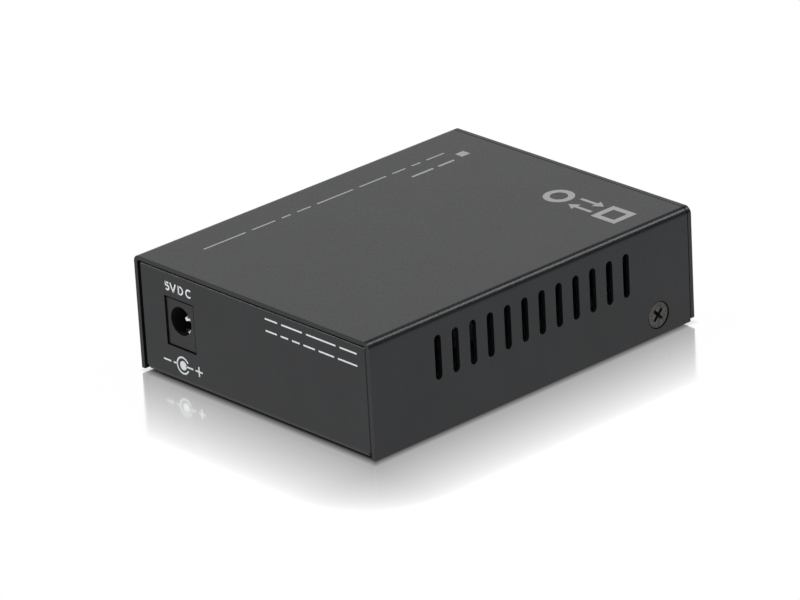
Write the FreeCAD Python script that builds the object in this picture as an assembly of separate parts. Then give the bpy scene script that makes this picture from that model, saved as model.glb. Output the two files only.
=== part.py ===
"""Fibre media converter: a small folded-steel case that joins a copper network port to a fibre one.

The case is two folded sheets. The base tray is a floor with a front panel, a rear panel and two
upright tabs on each side; the top cover is an inverted U that slides in behind the front panel and
is held by one countersunk screw on each side. A circuit board stands on four posts in the tray. It
carries the copper jack, the cage for a plug-in fibre module and the status lamps at the front, and
the barrel power jack at the rear.

Millimetres. +Z is up and the origin is under the middle of the case, on the surface it stands on.
The ports face -Y, and the power jack faces +Y.
"""

import FreeCAD
import Part

import math
import os

V = FreeCAD.Vector

# Case
LENGTH = 94.0               # front panel's face to the cover's rear rim
WIDTH = 73.0
BODY_HEIGHT = 26.3          # folded body, without the feet
SHEET = 1.0                 # steel sheet of the cover and the tray
TRAY_BEND_INSIDE = 0.2      # inside radius of the tray's bends
COVER_BEND_INSIDE = 0.6     # and of the cover's
PANEL_SEAM = 0.2            # gap between the front panel and the cover
COVER_GAP = 0.5             # gap between the cover and the tray's edges
REAR_RECESS = 0.25          # how far the rear panel stands inside the cover's rim
CORNER_RELIEF = 0.6         # width cut away at each end of the rear panel's bend
EAR_UP = 0.65               # lower end of the front panel's ears above the case's underside
EDGE_SOFTEN = 0.2           # bevel along the rear panel's upper edges

# Rounds too small to need a true circle are made of flats, which keeps the model light
SMALL_SIDES = 16            # flats round a small turned or punched shape
WIDE_SIDES = 24             # flats round a wider one
END_FLATS = 5               # flats round the end of a long hole

# Vents in the cover's sides
SLOT_COUNT = 12
SLOT_PITCH = 5.0
SLOT_WIDTH = 1.9
SLOT_HEIGHT = 10.1
SLOT_LOW = 11.8             # slot's lower end above the case's underside

# Countersunk screws that hold the cover
SCREW_RADIUS = 1.5
SCREW_HEAD_RADIUS = 2.85
SCREW_HEAD_LAND = 0.1       # straight rim of the head above its cone
SCREW_FROM_FRONT = 10.8
SCREW_UP = 4.7
SCREW_LENGTH = 5.0
SCREW_SINK = 0.2            # head's face below the cover's face
RECESS_SHARE = 0.6          # driver recess's radius as a part of the head's
TAB_LENGTH = 12.0           # upright tabs of the tray, against which the cover's sides rest
TAB_HEIGHT = 8.6
TAB_SIDE_SLIT = 0.6
TAB_FROM_REAR = 14.0        # middle of the rear tabs from the rear panel's face

# Feet
FOOT_RADIUS = 4.0
FOOT_HEIGHT = 0.7
FOOT_TAPER = 0.4
FOOT_FROM_SIDE = 8.5
FOOT_FROM_END = 9.0

# Circuit board and what holds it
POST_HEIGHT = 5.6
POST_RADIUS = 2.9           # across its corners
POST_SHANK_RADIUS = 2.0
BOARD_THICKNESS = 1.6
BOARD_MARGIN = 0.5          # between the board and the tray
BOARD_SCREW_RADIUS = 1.25
BOARD_HEAD_RADIUS = 2.4
BOARD_HEAD_HEIGHT = 1.7
BOARD_SCREW_LENGTH = 4.5
POST_FROM_SIDE = 4.0        # from the board's edges
POST_FROM_FRONT = 20.0
POST_FROM_REAR = 17.0

# Power jack, for a plug of 5.5 mm over a 2 mm pin
JACK_FROM_SIDE = 13.5       # jack's axis from the case's side
JACK_WIDTH = 8.7
JACK_HEIGHT = 10.8
JACK_LENGTH = 14.4
JACK_COLLAR_LENGTH = 3.6    # thick front part of the jack
JACK_WAIST = 0.6            # how much slimmer the rest is on each side
JACK_BEHIND_FACE = 0.3      # jack's mouth behind the rear panel's face
JACK_CLEARANCE = 0.3        # round the jack in the panel's window
BORE_RADIUS = 3.25
BORE_DEPTH = 9.6
BORE_UP = 6.1               # bore's axis above the board
PIN_RADIUS = 1.0
PIN_NOSE = 0.7              # length of the pin's rounded nose
PIN_SHANK_RADIUS = 0.7      # where the pin passes through the housing's back
PIN_BEHIND_MOUTH = 1.6
LEAF_WIDTH = 2.6
LEAF_THICKNESS = 0.3
LEAF_BEHIND_MOUTH = 1.9
LEAF_RISE_LENGTH = 0.7      # from the leaf's front end to its crown
LEAF_INTRUSION = 0.45       # how far the leaf's crown stands into the bore
LEAF_ROOM = 0.2             # free space beside and in front of the leaf
TERMINAL_THICKNESS = 0.4
TERMINAL_WIDTH = 1.8
TERMINAL_BELOW_BOARD = 1.6
HOLE_CLEARANCE = 0.2        # round a terminal in the board

# Copper jack
COPPER_FROM_SIDE = 17.5     # jack's middle from the case's side
COPPER_WIDTH = 16.0
COPPER_HEIGHT = 13.4
COPPER_LENGTH = 18.0
COPPER_SHIELD = 0.4
COPPER_BEHIND_FACE = 0.1
PLUG_WIDTH = 11.9           # opening for the plug
PLUG_HEIGHT = 6.9
PLUG_DEPTH = 12.6
PLUG_SILL = 4.6             # opening's lower edge above the board
KEY_WIDTH = 6.4             # two-step notch for the plug's latch
KEY_HEIGHT = 1.6
KEY_NARROW_WIDTH = 3.6
KEY_NARROW_HEIGHT = 1.3
WIRE_COUNT = 8
WIRE_PITCH = 1.02
WIRE_WIDTH = 0.44
WIRE_THICKNESS = 0.3
WIRE_DROP = 2.3             # how far the wires hang into the opening
WIRE_REACH = 10.0           # wires' tips behind the jack's face
WIRE_TURN_DEPTH = 3.0       # wires' front turn behind the jack's face
WIRE_ROW_STEP = 1.8         # between the two rows of holes in the board
PORT_CLEARANCE = 0.2        # round a port in the front panel

# Cage for the fibre module
CAGE_FROM_LAMPS = 19.0      # cage's middle from the lamp block's
CAGE_WALL = 0.4
CAGE_INNER_WIDTH = 14.0
CAGE_INNER_HEIGHT = 9.0
CAGE_LENGTH = 48.5
CAGE_PROUD = 0.5            # how far its lip stands out of the front panel
COLLAR_WALL = 0.25
FINGER_WIDTH = 1.6
FINGER_LENGTH = 5.0
FINGER_SPREAD = 0.7
HOST_WIDTH = 12.6           # socket inside the cage
HOST_HEIGHT = 5.4
HOST_LENGTH = 9.0
HOST_SLOT_WIDTH = 9.4
HOST_SLOT_HEIGHT = 1.5
HOST_SLOT_UP = 3.0          # middle of the socket's slot above the board
HOST_CONTACT_COUNT = 10     # in each of two rows
HOST_CONTACT_THICKNESS = 0.2
HOST_PITCH = 0.8
HOST_TAIL_ROOM = 1.6        # behind the socket, for its contacts' tails

# Status lamps
LAMP_COLUMN_COUNT = 3
LAMP_ROW_COUNT = 2
LAMP_PITCH = 5.0
LAMP_RADIUS = 1.5
LAMP_CLEARANCE = 0.15
LAMP_LENGTH = 5.0
LAMP_NOSE = 0.5             # height of the bevel round a lamp's nose
LAMP_FROM_SIDE = 10.5       # middle of the lamp block from the case's side
LAMP_UP = 3.2               # lower row above the board
LAMP_BLOCK_DEPTH = 4.4
LAMP_BLOCK_MARGIN = 2.4
LAMP_LEAD = 0.5             # square section of a lamp's leads
LAMP_LEAD_PITCH = 2.0
LAMP_LOWER_TURN = 1.0       # where the leads turn down, behind the holder
LAMP_UPPER_TURN = 2.5

# Parts on the board
PART_GAP = 2.0              # free strip between neighbours
LEAD_THICKNESS = 0.2
CHIP_SIZE = 12.0
CHIP_HEIGHT = 1.4
CHIP_LEAD_COUNT = 8         # on each side
CHIP_LEAD_REACH = 1.4
CHIP_STAND = 0.1            # chip's body above the board
SINK_SIZE = 14.0
SINK_HEIGHT = 7.0
SINK_BASE = 1.6
SINK_FIN_COUNT = 6
LINE_WIDTH = 15.0
LINE_DEPTH = 10.0
LINE_HEIGHT = 5.6
LINE_LEAD_COUNT = 12        # on each side
LINE_LEAD_REACH = 1.6
CAN_BASE = 1.4
CAN_BASE_MARGIN = 0.3
INPUT_CAN_RADIUS = 4.0
INPUT_CAN_HEIGHT = 9.0
OUTPUT_CAN_RADIUS = 3.15
OUTPUT_CAN_HEIGHT = 6.5
POWER_WIDTH = 14.0
POWER_DEPTH = 13.0
POWER_HEIGHT = 10.0
POWER_LEG = 2.2             # thickness of the ferrite core
POWER_CORE_SHARE = 0.55     # core's depth as a part of the whole transformer's
INDUCTOR_SIZE = 10.0
INDUCTOR_HEIGHT = 4.5
CRYSTAL_LENGTH = 10.6
CRYSTAL_WIDTH = 3.8
CRYSTAL_HEIGHT = 3.2
CRYSTAL_FLANGE = 0.5
BRIDGE_WIDTH = 4.8
BRIDGE_DEPTH = 4.0
BRIDGE_HEIGHT = 2.4
BRIDGE_LEAD_COUNT = 2       # on each side
BRIDGE_LEAD_REACH = 1.2
CONTROLLER_WIDTH = 4.9
CONTROLLER_DEPTH = 3.9
CONTROLLER_HEIGHT = 1.5
CONTROLLER_LEAD_COUNT = 4   # on each side
CONTROLLER_LEAD_REACH = 1.0
SMALL_LENGTH = 1.6
SMALL_WIDTH = 0.8
SMALL_HEIGHT = 0.5
SMALL_PITCH = 1.7

# Derived levels and faces
FRONT = -(LENGTH + CAGE_PROUD) / 2 + CAGE_PROUD
REAR = FRONT + LENGTH
SIDE = WIDTH / 2
UNDER = FOOT_HEIGHT
TOP = UNDER + BODY_HEIGHT
TRAY_BEND = SHEET + TRAY_BEND_INSIDE
COVER_BEND = SHEET + COVER_BEND_INSIDE
COVER_FRONT = FRONT + SHEET + PANEL_SEAM
COVER_MIDDLE = (COVER_FRONT + REAR) / 2
TRAY_SIDE = SIDE - SHEET - COVER_GAP
TRAY_TOP = TOP - SHEET - COVER_GAP
PANEL_REAR = REAR - REAR_RECESS
SCREW_Y = FRONT + SCREW_FROM_FRONT
SCREW_Z = UNDER + SCREW_UP
FLOOR_TOP = UNDER + SHEET
BOARD_UNDER = FLOOR_TOP + POST_HEIGHT
BOARD_TOP = BOARD_UNDER + BOARD_THICKNESS
BOARD_SIDE = TRAY_SIDE - SHEET - BOARD_MARGIN
BOARD_FRONT = FRONT + SHEET + BOARD_MARGIN
BOARD_REAR = PANEL_REAR - SHEET - BOARD_MARGIN
POST_X = BOARD_SIDE - POST_FROM_SIDE
JACK_X = SIDE - JACK_FROM_SIDE
JACK_MOUTH = PANEL_REAR - JACK_BEHIND_FACE
JACK_BACK = JACK_MOUTH - JACK_LENGTH
JACK_AXIS_Z = BOARD_TOP + BORE_UP
COPPER_X = SIDE - COPPER_FROM_SIDE
COPPER_FRONT = FRONT + COPPER_BEHIND_FACE
COPPER_BACK = COPPER_FRONT + COPPER_LENGTH
LAMP_X = LAMP_FROM_SIDE - SIDE
CAGE_X = LAMP_X + CAGE_FROM_LAMPS
CAGE_FRONT = FRONT - CAGE_PROUD
CAGE_BACK = CAGE_FRONT + CAGE_LENGTH
CAGE_SIDE = CAGE_INNER_WIDTH / 2 + CAGE_WALL
CAGE_TOP = BOARD_TOP + CAGE_INNER_HEIGHT + 2 * CAGE_WALL


# Shape helpers

def block(x, y, z):
    """A box between two (low, high) pairs on each axis."""
    return Part.makeBox(x[1] - x[0], y[1] - y[0], z[1] - z[0], V(x[0], y[0], z[0]))


def centred(middle, width):
    """The (low, high) pair of a given width about a middle."""
    return middle - width / 2, middle + width / 2


def prism(corners, rise):
    """A solid raised from a flat outline."""
    return Part.Face(Part.makePolygon(corners + corners[:1])).extrude(rise)


def turned_profile(points, place, axis=V(0, 0, 1), sides=SMALL_SIDES):
    """A small round solid of flats, from (radius, height) points up its side, on an axis from a place."""
    turns = [2 * math.pi * i / sides for i in range(sides)]
    rings = [[V(r * math.cos(turn), r * math.sin(turn), z) for turn in turns] for r, z in points]
    outlines = [rings[0], rings[-1]]
    for low, high in zip(rings, rings[1:]):
        outlines += [
            [low[i - 1], low[i], high[i], high[i - 1]] for i in range(sides)
        ]
    shell = Part.makeShell([Part.Face(Part.makePolygon(corners + corners[:1])) for corners in outlines])
    solid = Part.makeSolid(shell)
    if solid.Volume < 0:
        solid.reverse()
    solid.Placement = FreeCAD.Placement(place, FreeCAD.Rotation(V(0, 0, 1), axis))
    return solid


def rod(radius, length, place, axis=V(0, 0, 1), sides=SMALL_SIDES):
    """A small round bar of flats."""
    return turned_profile([(radius, 0), (radius, length)], place, axis, sides)


def along(edge, axis):
    """Whether a straight edge runs along an axis."""
    span = edge.Vertexes[-1].Point - edge.Vertexes[0].Point
    return abs(abs(span.dot(axis)) - span.Length) < 1e-6 and span.Length > 0


def rounded(shape, radius, axis, *tests):
    """Rounds a box's straight edges that run along an axis and pass the tests on their middle."""
    edges = [
        edge for edge in shape.Edges
        if along(edge, axis) and all(test(edge.CenterOfMass) for test in tests)
    ]
    return shape.makeFillet(radius, edges)


def fused(shapes):
    """One shape from several that touch."""
    shapes = list(shapes)
    return shapes[0].multiFuse(shapes[1:]).removeSplitter() if len(shapes) > 1 else shapes[0]


def stadium_points(width, length):
    """(u, v) corners of a long outline about the origin, with half-round ends."""
    r = width / 2
    reach = length / 2 - r
    turns = [math.pi * i / END_FLATS for i in range(END_FLATS + 1)]
    end = [(r * math.cos(turn), reach + r * math.sin(turn)) for turn in turns]
    return end + [(-u, -v) for u, v in end]


def bent_strip(path, thickness, x):
    """A strip bent along a path of (y, z) points on its middle, as wide as the pair x."""
    def normal(a, b):
        dy, dz = b[0] - a[0], b[1] - a[1]
        length = math.hypot(dy, dz)
        return -dz / length, dy / length

    normals = [normal(a, b) for a, b in zip(path, path[1:])]
    left, right = [], []
    for i, (y, z) in enumerate(path):
        before, after = normals[max(i - 1, 0)], normals[min(i, len(normals) - 1)]
        my, mz = before[0] + after[0], before[1] + after[1]
        scale = thickness / (1 + before[0] * after[0] + before[1] * after[1]) / 2
        left.append(V(x[0], y + my * scale, z + mz * scale))
        right.append(V(x[0], y - my * scale, z - mz * scale))
    outline = left + right[::-1]
    return Part.Face(Part.makePolygon(outline + outline[:1])).extrude(V(x[1] - x[0], 0, 0))


def turned(shape, quarter_turns, middle):
    """A copy turned about an upright line in quarter turns."""
    copy = shape.copy()
    copy.rotate(middle, V(0, 0, 1), 90 * quarter_turns)
    return copy


def cross_recess(radius, depth):
    """Cutter for a cross-shaped driver recess in a head whose face is at z = 0, opening upwards."""
    wing = radius * 0.44
    arm = prism([
        V(-radius, -wing / 2, 0), V(radius, -wing / 2, 0),
        V(radius * 0.45, -wing / 2, -depth), V(-radius * 0.45, -wing / 2, -depth),
    ], V(0, wing, 0))
    return fused([arm, turned(arm, 1, V(0, 0, 0))])


# Case

def make_cover():
    """Inverted U of one folded sheet, with a row of vents and a countersunk hole in each side."""
    span = (COVER_FRONT, REAR)
    high = lambda p: p.z > UNDER + BODY_HEIGHT / 2
    outer = rounded(block((-SIDE, SIDE), span, (UNDER, TOP)), COVER_BEND, V(0, 1, 0), high)
    inside = block((-SIDE + SHEET, SIDE - SHEET), span, (UNDER - SHEET, TOP - SHEET))
    shell = outer.cut(rounded(inside, COVER_BEND_INSIDE, V(0, 1, 0), high))
    first = COVER_MIDDLE - SLOT_PITCH * (SLOT_COUNT - 1) / 2
    middle = UNDER + SLOT_LOW + SLOT_HEIGHT / 2
    slots = [
        prism([V(-WIDTH, first + i * SLOT_PITCH + u, middle + v)
               for u, v in stadium_points(SLOT_WIDTH, SLOT_HEIGHT)], V(2 * WIDTH, 0, 0))
        for i in range(SLOT_COUNT)
    ]
    seats = [screw_seat(side) for side in (-1, 1)]
    return shell.cut(Part.makeCompound(slots + seats))


def screw_seat(side):
    """Cutter for a cover screw's countersink and tapped hole, from the cover's face inwards."""
    mouth = SCREW_HEAD_RADIUS + SCREW_SINK + SCREW_HEAD_LAND
    rise = mouth - SCREW_RADIUS
    return turned_profile([
        (mouth, 0), (SCREW_RADIUS, rise), (SCREW_RADIUS, SCREW_LENGTH + SHEET),
    ], V(side * SIDE, SCREW_Y, SCREW_Z), V(-side, 0, 0), WIDE_SIDES)


def make_cover_screw(side):
    """Countersunk screw with a cross recess, its face just under the cover's."""
    neck = SCREW_HEAD_LAND + SCREW_HEAD_RADIUS - SCREW_RADIUS
    screw = turned_profile([
        (SCREW_RADIUS, -SCREW_LENGTH), (SCREW_RADIUS, -neck),
        (SCREW_HEAD_RADIUS, -SCREW_HEAD_LAND), (SCREW_HEAD_RADIUS, 0),
    ], V(0, 0, 0), sides=WIDE_SIDES)
    recess = turned(cross_recess(SCREW_HEAD_RADIUS * RECESS_SHARE, SCREW_RADIUS), 0.5, V(0, 0, 0))
    screw = screw.cut(recess)
    screw.rotate(V(0, 0, 0), V(0, 1, 0), 90 * side)
    screw.translate(V(side * (SIDE - SCREW_SINK), SCREW_Y, SCREW_Z))
    return screw


def make_floor_and_panels():
    """Floor folded up into the front and rear panels, with the rear panel's edges softened."""
    low = lambda p: p.z < FLOOR_TOP
    outer = block((-TRAY_SIDE, TRAY_SIDE), (FRONT, PANEL_REAR), (UNDER, TRAY_TOP))
    inner = block((-WIDTH, WIDTH), (FRONT + SHEET, PANEL_REAR - SHEET), (FLOOR_TOP, TOP))
    outer = rounded(outer, TRAY_BEND, V(1, 0, 0), low)
    folded = outer.cut(rounded(inner, TRAY_BEND_INSIDE, V(1, 0, 0), lambda p: p.z < FLOOR_TOP + SHEET))
    rear = (PANEL_REAR - TRAY_BEND, REAR)
    above = block((-WIDTH, WIDTH), rear, (UNDER + TRAY_BEND, TOP))
    reliefs = [
        block(sorted((side * (TRAY_SIDE - CORNER_RELIEF), side * WIDTH)), rear,
              (UNDER - SHEET, UNDER + TRAY_BEND))
        for side in (-1, 1)
    ]
    folded = folded.cut(Part.makeCompound([above] + reliefs))
    panel = block((-TRAY_SIDE, TRAY_SIDE), (PANEL_REAR - SHEET, PANEL_REAR), (UNDER + TRAY_BEND, TRAY_TOP))
    panel = panel.makeChamfer(EDGE_SOFTEN, [
        edge for edge in panel.Edges
        if edge.CenterOfMass.y > PANEL_REAR - SHEET / 2 and edge.BoundBox.YLength < 1e-6
        and edge.CenterOfMass.z > UNDER + TRAY_BEND + SHEET
    ])
    return fused([folded, panel])


def make_tabs(middle):
    """The two upright tabs at one place along the case: the floor's edges folded up."""
    low = lambda p: p.z < FLOOR_TOP + SHEET / 2
    y = centred(middle, TAB_LENGTH)
    face = SIDE - SHEET
    tabs = rounded(block((-face, face), y, (UNDER, UNDER + TAB_HEIGHT)), TRAY_BEND, V(0, 1, 0), low)
    reach = face - SHEET
    return tabs.cut(rounded(block((-reach, reach), y, (FLOOR_TOP, TOP)), TRAY_BEND_INSIDE, V(0, 1, 0), low))


def make_tray():
    """Base tray of one folded sheet: floor, front panel with ears, rear panel and upright tabs."""
    middles = (SCREW_Y, PANEL_REAR - TAB_FROM_REAR)
    slits = [
        block(sorted((side * (TRAY_SIDE - TRAY_BEND), side * WIDTH)),
              centred(middle, TAB_LENGTH + 2 * TAB_SIDE_SLIT), (UNDER - SHEET, FLOOR_TOP))
        for side in (-1, 1) for middle in middles
    ]
    folded = make_floor_and_panels().cut(Part.makeCompound(slits))
    face = block((-SIDE, SIDE), (FRONT, FRONT + SHEET), (UNDER + TRAY_BEND, TOP))
    face = rounded(face, COVER_BEND, V(0, 1, 0), lambda p: p.z > TOP - SHEET)
    ears = [
        block(sorted((side * TRAY_SIDE, side * SIDE)), (FRONT, FRONT + SHEET),
              (UNDER + EAR_UP, UNDER + TRAY_BEND))
        for side in (-1, 1)
    ]
    tray = fused([folded, face] + ears + [make_tabs(middle) for middle in middles])

    cutters = [screw_seat(side) for side in (-1, 1)]
    cutters += [
        rod(POST_SHANK_RADIUS, 2 * SHEET, V(x, y, UNDER - SHEET / 2)) for x, y in post_places()
    ]
    cutters.append(power_window())
    cutters.append(port_window(COPPER_X, COPPER_WIDTH, BOARD_TOP, BOARD_TOP + COPPER_HEIGHT))
    cutters.append(port_window(CAGE_X, 2 * CAGE_SIDE, BOARD_TOP, CAGE_TOP))
    cutters += [
        rod(LAMP_RADIUS + LAMP_CLEARANCE, 2 * SHEET, V(x, FRONT - SHEET / 2, z), V(0, 1, 0))
        for x, z in lamp_places()
    ]
    return tray.cut(Part.makeCompound(cutters))


def power_window():
    """Window in the rear panel, behind which the power jack stands."""
    x = centred(JACK_X, JACK_WIDTH + 2 * JACK_CLEARANCE)
    z = (BOARD_TOP - JACK_CLEARANCE, BOARD_TOP + JACK_HEIGHT + JACK_CLEARANCE)
    return block(x, (PANEL_REAR - 2 * SHEET, REAR), z)


def port_window(x, width, low, high):
    """Window in the front panel for a port that stands on the board."""
    return block(centred(x, width + 2 * PORT_CLEARANCE), (FRONT - SHEET, FRONT + 2 * SHEET),
                 (low - PORT_CLEARANCE, high + PORT_CLEARANCE))


def foot_places():
    """Foot name and middle, for each corner."""
    return {
        f"foot_{end}_{hand}": V(side * (SIDE - FOOT_FROM_SIDE), y, 0)
        for end, y in (("front", FRONT + FOOT_FROM_END), ("rear", REAR - FOOT_FROM_END))
        for hand, side in (("left", -1), ("right", 1))
    }


def make_foot(place):
    """Stick-on rubber foot, slightly narrower below."""
    profile = [(FOOT_RADIUS - FOOT_TAPER, 0), (FOOT_RADIUS, FOOT_HEIGHT)]
    return turned_profile(profile, place, sides=WIDE_SIDES)


# Board and its fixings

def post_places():
    """Middles of the four posts, in the order front left, front right, rear left, rear right."""
    return [
        (side * POST_X, y)
        for y in (BOARD_FRONT + POST_FROM_FRONT, BOARD_REAR - POST_FROM_REAR)
        for side in (-1, 1)
    ]


def make_post(x, y):
    """Six-sided threaded post whose round shank is pressed into the floor."""
    body = rod(POST_RADIUS, POST_HEIGHT, V(x, y, FLOOR_TOP), sides=6)
    shank = rod(POST_SHANK_RADIUS, SHEET, V(x, y, UNDER))
    hole = rod(BOARD_SCREW_RADIUS, POST_HEIGHT - SHEET, V(x, y, FLOOR_TOP + SHEET))
    return body.fuse(shank).cut(hole).removeSplitter()


def make_board_screw(x, y):
    """Pan-head screw with a cross recess, down through the board into a post."""
    r, h, shank = BOARD_HEAD_RADIUS, BOARD_HEAD_HEIGHT, BOARD_SCREW_RADIUS
    screw = turned_profile([
        (shank, -BOARD_SCREW_LENGTH), (shank, 0), (r, 0), (r, h * 0.5), (r * 0.72, h),
    ], V(0, 0, 0))
    recess = cross_recess(r * RECESS_SHARE, h * 0.75)
    recess.translate(V(0, 0, h))
    screw = screw.cut(recess)
    screw.translate(V(x, y, BOARD_TOP))
    return screw


def make_board():
    """Circuit board with its fixing holes and the holes for terminals."""
    board = block((-BOARD_SIDE, BOARD_SIDE), (BOARD_FRONT, BOARD_REAR), (BOARD_UNDER, BOARD_TOP))
    holes = [
        rod(BOARD_SCREW_RADIUS + HOLE_CLEARANCE, BOARD_THICKNESS, V(x, y, BOARD_UNDER))
        for x, y in post_places()
    ]
    grow = HOLE_CLEARANCE
    for terminal in terminal_boxes():
        x, y = terminal
        holes.append(block((x[0] - grow, x[1] + grow), (y[0] - grow, y[1] + grow),
                           (BOARD_UNDER, BOARD_TOP)))
    return board.cut(Part.makeCompound(holes))


def terminal_boxes():
    """Footprint of each flat terminal that passes through the board, as two (low, high) pairs."""
    wide = TERMINAL_WIDTH
    thick = TERMINAL_THICKNESS
    jack = [
        (centred(JACK_X, wide), centred(pin_terminal_y(), thick)),
        (centred(JACK_X, wide), centred(leaf_terminal_y(), LEAF_THICKNESS)),
        (centred(switch_terminal_x(), thick), centred(leaf_terminal_y(), wide)),
    ]
    wires = [
        (centred(x, WIRE_WIDTH), centred(wire_row_y(i), WIRE_THICKNESS))
        for i, x in enumerate(wire_places())
    ]
    return jack + wires + cage_peg_boxes() + shield_leg_boxes() + lamp_lead_boxes()


# Power jack

def pin_terminal_y():
    return JACK_BACK - TERMINAL_THICKNESS / 2


def leaf_terminal_y():
    return JACK_MOUTH - BORE_DEPTH + LEAF_THICKNESS / 2


def switch_terminal_x():
    return JACK_X - JACK_WIDTH / 2 + JACK_WAIST - TERMINAL_THICKNESS / 2


def make_jack_housing():
    """Moulded body: a square collar at the mouth, a round-topped barrel behind it, and the bore."""
    collar_back = JACK_MOUTH - JACK_COLLAR_LENGTH
    collar = block(centred(JACK_X, JACK_WIDTH), (collar_back, JACK_MOUTH),
                   (BOARD_TOP, BOARD_TOP + JACK_HEIGHT))
    half = JACK_WIDTH / 2 - JACK_WAIST
    barrel_x = (JACK_X - half, JACK_X + half)
    lower = block(barrel_x, (JACK_BACK, collar_back), (BOARD_TOP, JACK_AXIS_Z))
    upper = Part.makeCylinder(half, collar_back - JACK_BACK, V(JACK_X, JACK_BACK, JACK_AXIS_Z), V(0, 1, 0))
    body = fused([collar, lower, upper])
    bore = Part.makeCylinder(BORE_RADIUS, BORE_DEPTH, V(JACK_X, JACK_MOUTH, JACK_AXIS_Z), V(0, -1, 0))
    pin_hole = rod(PIN_SHANK_RADIUS, JACK_LENGTH, V(JACK_X, JACK_BACK, JACK_AXIS_Z), V(0, 1, 0))
    leaf_room = block(centred(JACK_X, LEAF_WIDTH + 2 * LEAF_ROOM),
                      (JACK_MOUTH - BORE_DEPTH, JACK_MOUTH - LEAF_BEHIND_MOUTH + LEAF_ROOM),
                      (BOARD_TOP, JACK_AXIS_Z - BORE_RADIUS / 2))
    return body.cut(Part.makeCompound([bore, pin_hole, leaf_room]))


def make_centre_pin():
    """Round-nosed pin on the bore's axis, riveted through the housing's back to its terminal."""
    nose = JACK_MOUTH - PIN_BEHIND_MOUTH
    root = JACK_MOUTH - BORE_DEPTH
    axis = V(0, 1, 0)
    half = PIN_NOSE / 2
    pin = Part.makeCylinder(PIN_RADIUS, nose - PIN_NOSE - root, V(JACK_X, root, JACK_AXIS_Z), axis)
    shoulder = Part.makeCone(PIN_RADIUS, PIN_RADIUS * 0.85, half,
                             V(JACK_X, nose - PIN_NOSE, JACK_AXIS_Z), axis)
    tip = Part.makeCone(PIN_RADIUS * 0.85, PIN_RADIUS * 0.45, half,
                        V(JACK_X, nose - half, JACK_AXIS_Z), axis)
    shank = rod(PIN_SHANK_RADIUS, root - JACK_BACK, V(JACK_X, JACK_BACK, JACK_AXIS_Z), axis)
    terminal = block(centred(JACK_X, TERMINAL_WIDTH), (JACK_BACK - TERMINAL_THICKNESS, JACK_BACK),
                     (BOARD_UNDER - TERMINAL_BELOW_BOARD, JACK_AXIS_Z + PIN_RADIUS))
    return fused([pin, shoulder, tip, shank, terminal])


def make_sleeve_leaf():
    """Spring leaf under the bore that presses on the plug's sleeve, with its own terminal."""
    y = leaf_terminal_y()
    front = JACK_MOUTH - LEAF_BEHIND_MOUTH
    low = JACK_AXIS_Z - BORE_RADIUS - LEAF_THICKNESS * 2
    crown = JACK_AXIS_Z - BORE_RADIUS + LEAF_INTRUSION - LEAF_THICKNESS / 2
    leaf = bent_strip([
        (y, BOARD_TOP), (y, low), (front - LEAF_RISE_LENGTH, crown), (front, low),
    ], LEAF_THICKNESS, centred(JACK_X, LEAF_WIDTH))
    terminal = block(centred(JACK_X, TERMINAL_WIDTH), centred(y, LEAF_THICKNESS),
                     (BOARD_UNDER - TERMINAL_BELOW_BOARD, BOARD_TOP))
    return fused([leaf, terminal])


def make_switch_terminal():
    """Fixed contact on the jack's side that opens when a plug is in."""
    x = centred(switch_terminal_x(), TERMINAL_THICKNESS)
    y = leaf_terminal_y()
    return fused([
        block(x, centred(y, TERMINAL_WIDTH), (BOARD_UNDER - TERMINAL_BELOW_BOARD, BOARD_TOP)),
        block(x, centred(y, TERMINAL_WIDTH * 1.4), (BOARD_TOP, BOARD_TOP + TERMINAL_WIDTH * 2)),
    ])


# Copper jack

def wire_places():
    """X of each contact wire."""
    first = COPPER_X - WIRE_PITCH * (WIRE_COUNT - 1) / 2
    return [first + i * WIRE_PITCH for i in range(WIRE_COUNT)]


def wire_row_y(index):
    """The wires reach the board in two staggered rows."""
    back = COPPER_BACK - COPPER_SHIELD - WIRE_THICKNESS * 2
    return back - (index % 2) * WIRE_ROW_STEP


def plug_top():
    return BOARD_TOP + PLUG_SILL + PLUG_HEIGHT


def wire_run():
    """Height at which the wires run forwards, against the comb's ceiling."""
    return plug_top() + WIRE_THICKNESS * 2


def make_copper_body():
    """Moulded insert: the plug's opening, its stepped latch notch and the comb over the wires."""
    half = COPPER_WIDTH / 2 - COPPER_SHIELD
    back = wire_row_y(1) - WIRE_THICKNESS / 2
    lip = COPPER_FRONT + COPPER_SHIELD
    body = block((COPPER_X - half, COPPER_X + half), (lip, back),
                 (BOARD_TOP, BOARD_TOP + COPPER_HEIGHT - COPPER_SHIELD))
    sill = BOARD_TOP + PLUG_SILL
    end = COPPER_FRONT + PLUG_DEPTH
    opening = block(centred(COPPER_X, PLUG_WIDTH), (lip - SHEET, end), (sill, plug_top()))
    key = block(centred(COPPER_X, KEY_WIDTH), (lip - SHEET, end), (sill - KEY_HEIGHT, sill))
    narrow = block(centred(COPPER_X, KEY_NARROW_WIDTH), (lip - SHEET, end),
                   (sill - KEY_HEIGHT - KEY_NARROW_HEIGHT, sill - KEY_HEIGHT))
    catch_room = block(centred(COPPER_X, KEY_WIDTH), (lip + WIRE_THICKNESS * 5, end),
                       (sill - KEY_HEIGHT - KEY_NARROW_HEIGHT, sill - KEY_HEIGHT))
    comb = [
        block(centred(x, WIRE_WIDTH + HOLE_CLEARANCE), (lip + WIRE_THICKNESS * 5, back + SHEET),
              (plug_top() - SHEET, wire_run() + WIRE_THICKNESS / 2))
        for x in wire_places()
    ]
    return body.cut(Part.makeCompound([opening, key, narrow, catch_room] + comb))


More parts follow.
